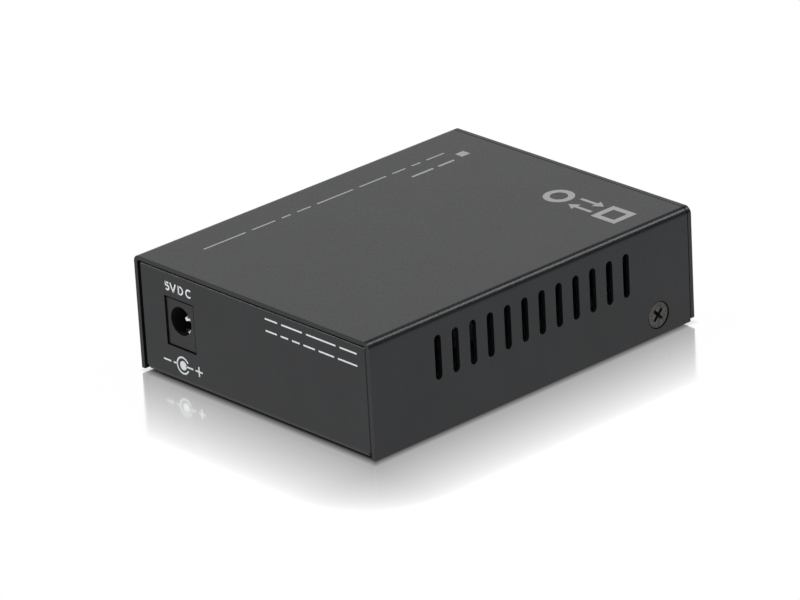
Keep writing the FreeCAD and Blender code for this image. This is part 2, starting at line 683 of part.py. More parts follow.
def make_copper_wires():
    """Spring wires: up from the board, forwards over the opening, and back down into it."""
    run = wire_run()
    turn = COPPER_FRONT + WIRE_TURN_DEPTH
    wires = []
    for index, x in enumerate(wire_places()):
        y = wire_row_y(index)
        wires.append(bent_strip([
            (y, BOARD_UNDER - TERMINAL_BELOW_BOARD), (y, run), (turn, run),
            (turn - WIRE_THICKNESS * 1.5, run - WIRE_THICKNESS * 2),
            (turn, run - WIRE_THICKNESS * 4), (COPPER_FRONT + WIRE_REACH, plug_top() - WIRE_DROP),
        ], WIRE_THICKNESS, centred(x, WIRE_WIDTH)))
    return Part.makeCompound(wires)


def shield_leg_boxes():
    """Footprints of the shield's two legs."""
    y = COPPER_FRONT + COPPER_LENGTH / 2
    return [
        (sorted((COPPER_X + side * COPPER_WIDTH / 2,
                 COPPER_X + side * (COPPER_WIDTH / 2 - COPPER_SHIELD))), centred(y, TERMINAL_WIDTH))
        for side in (-1, 1)
    ]


def make_copper_shield():
    """Folded shield round the insert, with a window at the front, grounding fingers and two legs."""
    wall = COPPER_SHIELD
    half = COPPER_WIDTH / 2
    z = (BOARD_TOP, BOARD_TOP + COPPER_HEIGHT)
    outer = block((COPPER_X - half, COPPER_X + half), (COPPER_FRONT, COPPER_BACK), z)
    inner = block((COPPER_X - half + wall, COPPER_X + half - wall),
                  (COPPER_FRONT + wall, COPPER_BACK - wall), (z[0] - wall, z[1] - wall))
    window = block(centred(COPPER_X, PLUG_WIDTH), (COPPER_FRONT - wall, COPPER_FRONT + 2 * wall),
                   (BOARD_TOP + PLUG_SILL - KEY_HEIGHT - KEY_NARROW_HEIGHT, plug_top()))
    shell = outer.cut(Part.makeCompound([inner, window]))
    legs = [
        block(x, y, (BOARD_UNDER - TERMINAL_BELOW_BOARD, BOARD_TOP))
        for x, y in shield_leg_boxes()
    ]
    return fused([shell] + legs)


# Fibre module cage

def cage_peg_boxes():
    """Footprints of the press-in pegs along the cage's sides."""
    middle = CAGE_SIDE - CAGE_WALL / 2
    inside = (BOARD_FRONT + CAGE_WALL * 8, CAGE_BACK - CAGE_WALL * 8)
    places = [inside[0] + (inside[1] - inside[0]) * share for share in (0, 0.5, 1)]
    return [
        (centred(CAGE_X + side * middle, CAGE_WALL), centred(y, CAGE_WALL * 2))
        for side in (-1, 1) for y in places
    ]


def make_cage():
    """Folded cage: vented roof, latch tongue in its floor, pegs, and open under the host socket."""
    z = (BOARD_TOP, CAGE_TOP)
    outer = block((CAGE_X - CAGE_SIDE, CAGE_X + CAGE_SIDE), (CAGE_FRONT, CAGE_BACK), z)
    half = CAGE_INNER_WIDTH / 2
    inner = block((CAGE_X - half, CAGE_X + half), (CAGE_FRONT - CAGE_WALL, CAGE_BACK - CAGE_WALL),
                  (z[0] + CAGE_WALL, z[1] - CAGE_WALL))
    socket_room = block((CAGE_X - half, CAGE_X + half),
                        (host_front() - CAGE_WALL, CAGE_BACK - CAGE_WALL),
                        (z[0] - CAGE_WALL, z[0] + CAGE_WALL))
    tongue = [
        block(centred(CAGE_X + side * CAGE_INNER_WIDTH / 5, CAGE_WALL),
              (CAGE_FRONT - CAGE_WALL, CAGE_FRONT + FINGER_LENGTH * 2),
              (z[0] - CAGE_WALL, z[0] + CAGE_WALL))
        for side in (-1, 1)
    ]
    tip = CAGE_FRONT + FINGER_LENGTH
    reach = CAGE_INNER_WIDTH / 8
    catch = Part.Face(Part.makePolygon([
        V(CAGE_X - reach, tip, z[0] - CAGE_WALL), V(CAGE_X + reach, tip, z[0] - CAGE_WALL),
        V(CAGE_X, tip + 1.5 * reach, z[0] - CAGE_WALL), V(CAGE_X - reach, tip, z[0] - CAGE_WALL),
    ])).extrude(V(0, 0, 3 * CAGE_WALL))
    columns, rows = 3, 5
    pitch_x = CAGE_INNER_WIDTH / columns
    pitch_y = CAGE_LENGTH * 0.6 / rows
    vents = [
        rod(pitch_x / 5, 3 * CAGE_WALL,
            V(CAGE_X + (c - (columns - 1) / 2) * pitch_x, CAGE_FRONT + CAGE_LENGTH / 4 + r * pitch_y,
              z[1] - 2 * CAGE_WALL), sides=12)
        for c in range(columns) for r in range(rows)
    ]
    shell = outer.cut(Part.makeCompound([inner, socket_room, catch] + tongue + vents))
    pegs = [block(x, y, (BOARD_UNDER - CAGE_WALL, BOARD_TOP)) for x, y in cage_peg_boxes()]
    return fused([shell] + pegs)


def make_collar():
    """Spring collar round the cage behind the panel, with fingers that press on the panel."""
    start = FRONT + SHEET + FINGER_LENGTH
    y = (start, start + FINGER_WIDTH * 1.5)
    inner_x = (CAGE_X - CAGE_SIDE, CAGE_X + CAGE_SIDE)
    inner_z = (BOARD_TOP - COLLAR_WALL, CAGE_TOP)
    outer_x = (inner_x[0] - COLLAR_WALL, inner_x[1] + COLLAR_WALL)
    outer_z = (BOARD_TOP, inner_z[1] + COLLAR_WALL)
    band = block(outer_x, y, outer_z).cut(block(inner_x, y, inner_z))

    def finger_path(wall):
        """A finger's path from the band out to its crown and back to its tip, over a wall."""
        return [
            (start + COLLAR_WALL, wall), (start - FINGER_LENGTH * 0.35, wall + FINGER_SPREAD),
            (FRONT + SHEET + EDGE_SOFTEN, wall),
        ]

    flat = [
        bent_strip(finger_path(CAGE_TOP + COLLAR_WALL / 2), COLLAR_WALL,
                   centred(CAGE_X + i * FINGER_WIDTH * 1.8, FINGER_WIDTH))
        for i in (-2, -1, 0, 1, 2)
    ]
    sides = []
    for side in (-1, 1):
        for up in (0.3, 0.7):
            finger = bent_strip(finger_path(CAGE_SIDE + COLLAR_WALL / 2), COLLAR_WALL,
                                centred(0, FINGER_WIDTH))
            finger.rotate(V(0, 0, 0), V(0, 1, 0), 90 * side)
            finger.translate(V(CAGE_X, 0, BOARD_TOP + up * (CAGE_TOP - BOARD_TOP)))
            sides.append(finger)
    return fused([band] + flat + sides)


def host_front():
    return CAGE_BACK - CAGE_WALL - HOST_TAIL_ROOM - HOST_LENGTH


def make_host_socket():
    """Moulded socket at the cage's far end that takes the module's card edge."""
    y = (host_front(), host_front() + HOST_LENGTH)
    body = block(centred(CAGE_X, HOST_WIDTH), y, (BOARD_TOP, BOARD_TOP + HOST_HEIGHT))
    body = rounded(body, HOST_SLOT_HEIGHT / 2, V(0, 1, 0), lambda p: p.z > BOARD_TOP + HOST_HEIGHT / 2)
    middle = BOARD_TOP + HOST_SLOT_UP
    slot = block(centred(CAGE_X, HOST_SLOT_WIDTH), (y[0] - CAGE_WALL, y[0] + HOST_LENGTH * 0.7),
                 centred(middle, HOST_SLOT_HEIGHT))
    contact_room = block(centred(CAGE_X, HOST_PITCH * HOST_CONTACT_COUNT),
                         (y[0] + HOST_LENGTH * 0.1, y[1] + CAGE_WALL),
                         centred(middle, HOST_SLOT_HEIGHT + 3 * HOST_CONTACT_THICKNESS))
    return body.cut(slot.fuse(contact_room))


def host_places():
    """X of each contact in a row of the host socket."""
    first = CAGE_X - HOST_PITCH * (HOST_CONTACT_COUNT - 1) / 2
    return [first + i * HOST_PITCH for i in range(HOST_CONTACT_COUNT)]


def make_host_contacts():
    """Two rows of bowed contacts in the socket's slot, with tails down to the board behind it."""
    y = host_front()
    end = y + HOST_LENGTH
    middle = BOARD_TOP + HOST_SLOT_UP
    thick = HOST_CONTACT_THICKNESS
    contacts = []
    for x in host_places():
        for row, tail in ((-1, HOST_TAIL_ROOM * 0.25), (1, HOST_TAIL_ROOM * 0.7)):
            rest = middle + row * (HOST_SLOT_HEIGHT / 2 + thick)
            bow = middle + row * (HOST_SLOT_HEIGHT / 4 + thick)
            contacts.append(bent_strip([
                (y + HOST_LENGTH * 0.3, bow), (y + HOST_LENGTH * 0.65, rest),
                (end + tail, rest), (end + tail, BOARD_TOP),
            ], thick, centred(x, HOST_PITCH * 0.5)))
    return Part.makeCompound(contacts)


# Status lamps

def lamp_places():
    """X and Z of each lamp, lower row first, from left to right."""
    first = LAMP_X - LAMP_PITCH * (LAMP_COLUMN_COUNT - 1) / 2
    return [
        (first + c * LAMP_PITCH, BOARD_TOP + LAMP_UP + r * LAMP_PITCH)
        for r in range(LAMP_ROW_COUNT) for c in range(LAMP_COLUMN_COUNT)
    ]


def lamp_block_front():
    return BOARD_FRONT + LAMP_CLEARANCE


def make_lamp(x, z):
    """Round lamp with a bevelled nose, level with the panel's face."""
    r, nose = LAMP_RADIUS, LAMP_NOSE
    return turned_profile([
        (r - nose * 1.6, 0), (r - nose * 0.5, nose * 0.4), (r, nose), (r, LAMP_LENGTH),
    ], V(x, FRONT, z), V(0, 1, 0))


def make_lamp_block():
    """Moulded holder that stands on the board and carries the lamps."""
    x = centred(LAMP_X, LAMP_PITCH * (LAMP_COLUMN_COUNT - 1) + 2 * LAMP_BLOCK_MARGIN)
    front = lamp_block_front()
    top = BOARD_TOP + LAMP_UP + LAMP_PITCH * (LAMP_ROW_COUNT - 1) + LAMP_BLOCK_MARGIN
    body = block(x, (front, front + LAMP_BLOCK_DEPTH), (BOARD_TOP, top))
    holes = [
        rod(LAMP_RADIUS, LAMP_BLOCK_DEPTH, V(x, front, z), V(0, 1, 0)) for x, z in lamp_places()
    ]
    return body.cut(Part.makeCompound(holes))


def lamp_lead_places():
    """X of a lamp's lead, Y where it turns down, and the lamp's height, for each of the leads."""
    back = lamp_block_front() + LAMP_BLOCK_DEPTH
    return [
        (x + side * LAMP_LEAD_PITCH / 2, back + (LAMP_LOWER_TURN if row == 0 else LAMP_UPPER_TURN), z)
        for row in range(LAMP_ROW_COUNT)
        for x, z in lamp_places()[row * LAMP_COLUMN_COUNT:(row + 1) * LAMP_COLUMN_COUNT]
        for side in (-1, 1)
    ]


def lamp_lead_boxes():
    """Footprints of the lamps' leads on the board."""
    return [(centred(x, LAMP_LEAD), centred(y, LAMP_LEAD)) for x, y, z in lamp_lead_places()]


def make_lamp_leads():
    """Leads from the back of each lamp, bent down behind the holder and through the board."""
    return Part.makeCompound([
        bent_strip([(FRONT + LAMP_LENGTH, z), (y, z), (y, BOARD_UNDER - TERMINAL_BELOW_BOARD)],
                   LAMP_LEAD, centred(x, LAMP_LEAD))
        for x, y, z in lamp_lead_places()
    ])


# Parts on the board

def leads(count, span, reach, edge, height):
    """A row of gull-wing leads along X, spread over a span, from a body's edge outwards to +Y."""
    thick = LEAD_THICKNESS
    pitch = span / count
    path = [
        (edge - thick, height), (edge + reach * 0.35, height),
        (edge + reach * 0.55, thick / 2), (edge + reach, thick / 2),
    ]
    first = -pitch * (count - 1) / 2
    return [bent_strip(path, thick, centred(first + i * pitch, pitch * 0.45)) for i in range(count)]


def chip(width, depth, height, counts, reach):
    """Moulded chip with gull-wing leads: counts are those on each Y side and on each X side."""
    body = block(centred(0, width), centred(0, depth), (CHIP_STAND, CHIP_STAND + height))
    body = body.makeChamfer(height * 0.12, [e for e in body.Edges if e.CenterOfMass.z > height])
    rows = [(0, counts[0], width, depth), (1, counts[1], depth, width)]
    legs = [
        turned(lead, side + half, V(0, 0, 0))
        for side, count, along_side, across in rows if count
        for half in (0, 2)
        for lead in leads(count, along_side * 0.92, reach, across / 2, height / 2)
    ]
    return fused([body] + legs)


def on_board(shape, place):
    """Puts a part made at the origin on the board."""
    shape.translate(V(place[0], place[1], BOARD_TOP))
    return shape


def after(edge, length):
    """Middle of a part of a given length that stands one gap behind an edge."""
    return edge + PART_GAP + length / 2


def places():
    """X and Y of each part on the board: three columns that run back from the ports."""
    inner = POST_X - BOARD_HEAD_RADIUS
    line = (after(-inner, LINE_WIDTH) * -1, after(COPPER_BACK, LINE_DEPTH + 2 * LINE_LEAD_REACH))
    chip_span = max(CHIP_SIZE + 2 * CHIP_LEAD_REACH, SINK_SIZE)
    line_back = line[1] + LINE_DEPTH / 2 + LINE_LEAD_REACH
    main_chip = (line[0], after(line_back, chip_span))
    chip_back = main_chip[1] + chip_span / 2
    controller = (line[0], after(chip_back, CONTROLLER_DEPTH + 2 * CONTROLLER_LEAD_REACH))
    controller_back = controller[1] + CONTROLLER_DEPTH / 2 + CONTROLLER_LEAD_REACH
    crystal = (line[0], after(controller_back, CRYSTAL_WIDTH + 2 * CRYSTAL_FLANGE))
    power = (after(-inner, POWER_WIDTH), after(CAGE_BACK, POWER_DEPTH))
    power_back = power[1] + POWER_DEPTH / 2
    input_can = (power[0], after(power_back, 2 * (INPUT_CAN_RADIUS + CAN_BASE_MARGIN)))
    bridge_depth = BRIDGE_DEPTH + 2 * BRIDGE_LEAD_REACH
    bridge_1 = (after(power[0] + POWER_WIDTH / 2, BRIDGE_WIDTH), after(CAGE_BACK, bridge_depth))
    bridge_2 = (after(bridge_1[0] + BRIDGE_WIDTH / 2, BRIDGE_WIDTH), bridge_1[1])
    inductor = (after(power[0] + POWER_WIDTH / 2, INDUCTOR_SIZE),
                after(bridge_1[1] + bridge_depth / 2, INDUCTOR_SIZE))
    output_can = (inductor[0], after(inductor[1] + INDUCTOR_SIZE / 2,
                                     2 * (OUTPUT_CAN_RADIUS + CAN_BASE_MARGIN)))
    return {
        "line": line, "chip": main_chip, "controller": controller,
        "crystal": crystal, "power": power, "input_can": input_can,
        "bridge_1": bridge_1, "bridge_2": bridge_2, "inductor": inductor, "output_can": output_can,
    }


def make_heat_sink(place):
    """Extruded heat sink that is stuck on the converter chip."""
    low = BOARD_TOP + CHIP_STAND + CHIP_HEIGHT
    x, y = centred(place[0], SINK_SIZE), centred(place[1], SINK_SIZE)
    fin = SINK_SIZE / (2 * SINK_FIN_COUNT - 1)
    fins = [
        block((x[0] + 2 * i * fin, x[0] + (2 * i + 1) * fin), y, (low, low + SINK_HEIGHT))
        for i in range(SINK_FIN_COUNT)
    ]
    return fused([block(x, y, (low, low + SINK_BASE))] + fins)


def make_can(radius, height, place):
    """Aluminium can of a surface-mounted capacitor, with its rolled neck."""
    neck, edge = radius * 0.1, radius * 0.08
    return turned_profile([
        (radius, 0), (radius, neck), (radius - neck, 2 * neck), (radius, 3 * neck),
        (radius, height - edge), (radius - edge, height),
    ], V(place[0], place[1], BOARD_TOP + CAN_BASE), sides=WIDE_SIDES)


def make_can_base(radius, place):
    """Moulded foot of a capacitor, with two corners cut off."""
    x, y = place
    half = radius + CAN_BASE_MARGIN
    base = block((x - half, x + half), (y - half, y + half), (BOARD_TOP, BOARD_TOP + CAN_BASE))
    return base.makeChamfer(half * 0.4, [
        e for e in base.Edges if along(e, V(0, 0, 1)) and e.CenterOfMass.y > y
    ])


def make_power_core(place):
    """Ferrite core of the power transformer: a closed frame with a round leg up its middle."""
    x, y = place
    leg = POWER_LEG
    core = block(centred(x, POWER_WIDTH), centred(y, POWER_DEPTH * POWER_CORE_SHARE),
                 (BOARD_TOP + leg, BOARD_TOP + POWER_HEIGHT))
    window = block(centred(x, POWER_WIDTH - 2 * leg), centred(y, POWER_DEPTH),
                   (BOARD_TOP + leg * 2, BOARD_TOP + POWER_HEIGHT - leg))
    post = rod(leg, POWER_HEIGHT - 2 * leg, V(x, y, BOARD_TOP + leg * 1.5))
    return fused([core.cut(window), post])


def make_power_bobbin(place):
    """Wound bobbin round the core's leg, on two rails that stand on the board."""
    x, y = place
    leg = POWER_LEG
    low = BOARD_TOP + leg * 2
    winding = rod(POWER_WIDTH / 2 - leg * 1.1, POWER_HEIGHT - 3 * leg, V(x, y, low), sides=WIDE_SIDES)
    inner, outer = POWER_DEPTH * POWER_CORE_SHARE / 2, POWER_DEPTH / 2
    rails = [
        block(centred(x, POWER_WIDTH - 2 * leg), sorted((y + side * outer, y + side * inner)),
              (BOARD_TOP, low + leg / 4))
        for side in (-1, 1)
    ]
    return fused([winding] + rails).cut(rod(leg, POWER_HEIGHT, V(x, y, BOARD_TOP)))


def make_inductor(place):
    """Shielded power inductor with cut corners."""
    body = block(centred(place[0], INDUCTOR_SIZE), centred(place[1], INDUCTOR_SIZE),
                 (BOARD_TOP, BOARD_TOP + INDUCTOR_HEIGHT))
    return body.makeChamfer(INDUCTOR_SIZE * 0.18, [e for e in body.Edges if along(e, V(0, 0, 1))])


def make_crystal(place):
    """Low metal can of the clock crystal, on its flange, lying across the board."""
    def long_can(grow, height):
        outline = stadium_points(CRYSTAL_WIDTH + 2 * grow, CRYSTAL_LENGTH + 2 * grow)
        return prism([V(place[0] - v, place[1] + u, BOARD_TOP) for u, v in outline], V(0, 0, height))
    return fused([long_can(0, CRYSTAL_HEIGHT), long_can(CRYSTAL_FLANGE, CRYSTAL_FLANGE)])


def make_small_parts():
    """Small resistors and capacitors, in short rows beside the larger parts."""
    at = places()
    lamp_back = max(y for x, y, z in lamp_lead_places())
    x, y = at["controller"]
    beside = x - CONTROLLER_WIDTH / 2 - PART_GAP - SMALL_LENGTH / 2
    behind = after(at["crystal"][1] + CRYSTAL_WIDTH / 2 + CRYSTAL_FLANGE, SMALL_WIDTH)
    rows = [
        (LAMP_X, lamp_back + 2 * PART_GAP, 5),
        (LAMP_X + 2 * PART_GAP, lamp_back + 2 * PART_GAP, 5),
        (beside, y - SMALL_PITCH * 1.5, 4),
        (x, behind, 4),
        (x - 2 * PART_GAP, behind, 4),
    ]
    return Part.makeCompound([
        block(centred(x, SMALL_LENGTH), centred(y + i * SMALL_PITCH, SMALL_WIDTH),
              (BOARD_TOP, BOARD_TOP + SMALL_HEIGHT))
        for x, y, count in rows for i in range(count)
    ])


def build():
    """Every piece by its node name."""
    pieces = {"top_cover": make_cover(), "base_tray": make_tray(), "circuit_board": make_board()}
    for hand, side in (("left", -1), ("right", 1)):
        pieces[f"cover_screw_{hand}"] = make_cover_screw(side)
    for name, place in foot_places().items():
        pieces[name] = make_foot(place)
    corners = ("front_left", "front_right", "rear_left", "rear_right")
    for corner, (x, y) in zip(corners, post_places()):
        pieces[f"post_{corner}"] = make_post(x, y)
        pieces[f"board_screw_{corner}"] = make_board_screw(x, y)
    at = places()
    pieces.update({
        "power_jack_housing": make_jack_housing(),
        "power_jack_pin": make_centre_pin(),
        "power_jack_leaf": make_sleeve_leaf(),
        "power_jack_switch_terminal": make_switch_terminal(),
        "copper_jack_body": make_copper_body(),
        "copper_jack_wires": make_copper_wires(),
        "copper_jack_shield": make_copper_shield(),
        "module_cage": make_cage(),
        "module_cage_collar": make_collar(),
        "module_socket": make_host_socket(),
        "module_socket_contacts": make_host_contacts(),
        "lamp_block": make_lamp_block(),
        "lamp_leads": make_lamp_leads(),
        "converter_chip": on_board(
            chip(CHIP_SIZE, CHIP_SIZE, CHIP_HEIGHT, (CHIP_LEAD_COUNT, CHIP_LEAD_COUNT), CHIP_LEAD_REACH),
            at["chip"]),
        "heat_sink": make_heat_sink(at["chip"]),
        "line_transformer": on_board(
            chip(LINE_WIDTH, LINE_DEPTH, LINE_HEIGHT, (LINE_LEAD_COUNT, 0), LINE_LEAD_REACH), at["line"]),
        "input_capacitor_can": make_can(INPUT_CAN_RADIUS, INPUT_CAN_HEIGHT, at["input_can"]),
        "input_capacitor_base": make_can_base(INPUT_CAN_RADIUS, at["input_can"]),
        "output_capacitor_can": make_can(OUTPUT_CAN_RADIUS, OUTPUT_CAN_HEIGHT, at["output_can"]),
        "output_capacitor_base": make_can_base(OUTPUT_CAN_RADIUS, at["output_can"]),
        "power_transformer_core": make_power_core(at["power"]),
        "power_transformer_bobbin": make_power_bobbin(at["power"]),
        "power_inductor": make_inductor(at["inductor"]),
        "clock_crystal": make_crystal(at["crystal"]),
        "small_board_parts": make_small_parts(),
        "supply_controller": on_board(
            chip(CONTROLLER_WIDTH, CONTROLLER_DEPTH, CONTROLLER_HEIGHT, (CONTROLLER_LEAD_COUNT, 0),
                 CONTROLLER_LEAD_REACH),
            at["controller"]),
    })
    for name in ("bridge_1", "bridge_2"):
        pieces[f"supply_{name}"] = on_board(
            chip(BRIDGE_WIDTH, BRIDGE_DEPTH, BRIDGE_HEIGHT, (BRIDGE_LEAD_COUNT, 0), BRIDGE_LEAD_REACH),
            at[name])
    for index, (x, z) in enumerate(lamp_places(), 1):
        pieces[f"lamp_{index}"] = make_lamp(x, z)
    return pieces


def main():
    os.makedirs("parts", exist_ok=True)
    for name, shape in build().items():
        shape.exportStep(os.path.join("parts", name + ".step"))


main()
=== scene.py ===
import math

import bmesh
import bpy
from mathutils import Matrix, Vector


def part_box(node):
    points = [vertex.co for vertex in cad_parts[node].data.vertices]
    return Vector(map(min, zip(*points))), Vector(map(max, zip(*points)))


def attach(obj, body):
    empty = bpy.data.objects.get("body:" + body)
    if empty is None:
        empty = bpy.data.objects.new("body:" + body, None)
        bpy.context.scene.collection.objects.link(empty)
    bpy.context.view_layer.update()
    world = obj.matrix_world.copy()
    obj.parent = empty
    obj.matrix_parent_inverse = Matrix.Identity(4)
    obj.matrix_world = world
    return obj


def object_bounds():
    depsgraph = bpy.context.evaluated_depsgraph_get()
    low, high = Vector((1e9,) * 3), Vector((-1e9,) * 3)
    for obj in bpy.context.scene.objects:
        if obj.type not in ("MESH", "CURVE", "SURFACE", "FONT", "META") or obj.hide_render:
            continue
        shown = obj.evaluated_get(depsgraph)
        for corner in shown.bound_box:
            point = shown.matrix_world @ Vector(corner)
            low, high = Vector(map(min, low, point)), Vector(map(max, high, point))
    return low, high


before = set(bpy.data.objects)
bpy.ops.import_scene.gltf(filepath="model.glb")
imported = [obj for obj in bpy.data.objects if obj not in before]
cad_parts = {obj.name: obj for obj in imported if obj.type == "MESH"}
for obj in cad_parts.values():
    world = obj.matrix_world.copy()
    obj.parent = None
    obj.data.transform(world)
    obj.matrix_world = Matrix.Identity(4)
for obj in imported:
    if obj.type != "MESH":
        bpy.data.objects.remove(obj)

cad_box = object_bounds()


# ---------------------------------------------------------------------------
# Case: cover and base tray
# Two folded sheets of 1 mm steel in a fine-textured satin black powder paint. The cover is an
# inverted U, screwed on both sides to upright tabs of the tray.
# ---------------------------------------------------------------------------

mm = 0.001


def new_material(name):
    """A new material, and the nodes and links of its tree, which has only a principled shader."""
    material = bpy.data.materials.new(name)
    material.use_nodes = True
    return material, material.node_tree.nodes, material.node_tree.links


def set_sockets(shader, **values):
    """Sets a shader's own sockets; underscores stand for spaces."""
    for key, value in values.items():
        shader.inputs[key.replace("_", " ")].default_value = value


def noise(tree_nodes, links, scale, detail=2.0, roughness=0.5, stretch=(1, 1, 1)):
    """A noise texture over the piece's own coordinates, in metres; scale is in waves a metre."""
    place = tree_nodes.new("ShaderNodeTexCoord")
    mapping = tree_nodes.new("ShaderNodeMapping")
    mapping.inputs["Scale"].default_value = stretch
    links.new(place.outputs["Object"], mapping.inputs["Vector"])
    texture = tree_nodes.new("ShaderNodeTexNoise")
    set_sockets(texture, Scale=scale, Detail=detail, Roughness=roughness)
    links.new(mapping.outputs["Vector"], texture.inputs["Vector"])
    return texture.outputs["Fac"]


def spread(tree_nodes, links, source, low, high, start=0.35, end=0.65):
    """Maps a texture's middle range onto a range of values."""
    span = tree_nodes.new("ShaderNodeMapRange")
    set_sockets(span, From_Min=start, From_Max=end, To_Min=low, To_Max=high)
    links.new(source, span.inputs["Value"])
    return span.outputs["Result"]


def tint(tree_nodes, links, source, dark, light):
    """Mixes two colours by a texture."""
    ramp = tree_nodes.new("ShaderNodeValToRGB")
    ramp.color_ramp.elements[0].position = 0.3
    ramp.color_ramp.elements[1].position = 0.7
    ramp.color_ramp.elements[0].color = (*dark, 1)
    ramp.color_ramp.elements[1].color = (*light, 1)
    links.new(source, ramp.inputs["Fac"])
    return ramp.outputs["Color"]


def add_bump(tree_nodes, links, shader, source, height):
    """Relief of a given height in metres."""
    bump = tree_nodes.new("ShaderNodeBump")
    set_sockets(bump, Strength=1.0, Distance=height)
    links.new(source, bump.inputs["Height"])
    links.new(bump.outputs["Normal"], shader.inputs["Normal"])


def maths_for(tree_nodes, links):
    """A function that adds maths nodes to one tree, on sockets or numbers."""
    def maths(operation, *inputs):
        node = tree_nodes.new("ShaderNodeMath")
        node.operation = operation
        for index, value in enumerate(inputs):
            if isinstance(value, (int, float)):
                node.inputs[index].default_value = value
            else:
                links.new(value, node.inputs[index])
        return node.outputs[0]
    return maths


def distance(maths, across, along):
    """How far away something is that lies so far across and so far along."""
    return maths("SQRT", maths("ADD", maths("MULTIPLY", across, across), maths("MULTIPLY", along, along)))


def own_place(tree_nodes, links):
    """The piece's own coordinates, as one socket for each axis."""
    place = tree_nodes.new("ShaderNodeTexCoord")
    split = tree_nodes.new("ShaderNodeSeparateXYZ")
    links.new(place.outputs["Object"], split.inputs[0])
    return split.outputs


def fade(tree_nodes, links, colour, share):
    """A colour made darker by a share of itself."""
    scaled = tree_nodes.new("ShaderNodeVectorMath")
    scaled.operation = "SCALE"
    links.new(colour, scaled.inputs[0])
    links.new(share, scaled.inputs["Scale"])
    return scaled.outputs[0]


def dress(material, *names):
    """Gives CAD nodes a material."""
    for name in names:
        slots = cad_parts[name].data.materials
        slots.clear()
        slots.append(material)


powder_paint, tree, links = new_material("powder_paint")
shader = tree["Principled BSDF"]
set_sockets(shader, IOR=1.5, Specular_IOR_Level=0.30)
mottle = noise(tree, links, 90, detail=3)
grain = noise(tree, links, 4200, detail=3, roughness=0.6)
add_bump(tree, links, shader, grain, 0.000006)

# Painted shade: inside the two countersinks, where the gap round each screw's head lies in shade, the
# paint's colour is darkened to a tenth, and it is rough there.
SINK_MARGIN = 0.3 * mm      # countersink's mouth beyond the screw's head
SINK_EDGE = 0.1 * mm        # over which the painted shade fades in
SINK_SHADE_SHARE = 0.1            # share of the colour left in the painted shade
screw_low, screw_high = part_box("cover_screw_left")
sink_radius = (screw_high[2] - screw_low[2]) / 2 + SINK_MARGIN
maths = maths_for(tree, links)
at = own_place(tree, links)
from_screw = distance(maths, maths("SUBTRACT", at["Y"], (screw_low[1] + screw_high[1]) / 2),
                      maths("SUBTRACT", at["Z"], (screw_low[2] + screw_high[2]) / 2))
unshaded_share = spread(tree, links, from_screw, SINK_SHADE_SHARE, 1.0,
                 sink_radius - SINK_EDGE / 2, sink_radius + SINK_EDGE / 2)
full_colour = tint(tree, links, mottle, (0.0068, 0.0076, 0.0092), (0.0095, 0.0105, 0.0124))
links.new(fade(tree, links, full_colour, unshaded_share), shader.inputs["Base Color"])
links.new(maths("MAXIMUM", spread(tree, links, grain, 0.27, 0.37), maths("SUBTRACT", 1.0, unshaded_share)),
          shader.inputs["Roughness"])
dress(powder_paint, "top_cover", "base_tray")


# ---------------------------------------------------------------------------
# Cover screws
# Countersunk steel screws with a cross recess, blackened, one through each side into the tray's tab.
# ---------------------------------------------------------------------------

black_oxide, tree, links = new_material("black_oxide_screw")
shader = tree["Principled BSDF"]
set_sockets(shader, Metallic=0.85, IOR=1.8)
rub = noise(tree, links, 1400, detail=4)
links.new(tint(tree, links, rub, (0.030, 0.028, 0.027), (0.105, 0.101, 0.096)), shader.inputs["Base Color"])
links.new(spread(tree, links, rub, 0.32, 0.46), shader.inputs["Roughness"])
add_bump(tree, links, shader, rub, 0.00001)
dress(black_oxide, "cover_screw_left", "cover_screw_right")


# ---------------------------------------------------------------------------
# Feet
# Four stick-on feet of soft black rubber, with a dull skin.
# ---------------------------------------------------------------------------

rubber, tree, links = new_material("foot_rubber")
shader = tree["Principled BSDF"]
set_sockets(shader, Specular_IOR_Level=0.3)
skin = noise(tree, links, 2600, detail=3)
links.new(tint(tree, links, skin, (0.012, 0.012, 0.012), (0.022, 0.022, 0.022)),
          shader.inputs["Base Color"])
links.new(spread(tree, links, skin, 0.7, 0.85), shader.inputs["Roughness"])
add_bump(tree, links, shader, skin, 0.00002)
dress(rubber, "foot_front_left", "foot_front_right", "foot_rear_left", "foot_rear_right")


# ---------------------------------------------------------------------------
# Power jack
# A barrel jack behind the window in the rear panel: a moulded black body, a nickel-plated centre pin,
# a springy sleeve leaf low in the bore and a switch terminal.
# ---------------------------------------------------------------------------

moulded_black, tree, links = new_material("moulded_black_plastic")
shader = tree["Principled BSDF"]
set_sockets(shader, IOR=1.5)
etch = noise(tree, links, 3800, detail=3)
links.new(tint(tree, links, etch, (0.017, 0.0172, 0.018), (0.026, 0.0262, 0.027)),
          shader.inputs["Base Color"])
links.new(spread(tree, links, etch, 0.42, 0.55), shader.inputs["Roughness"])
add_bump(tree, links, shader, etch, 0.000008)

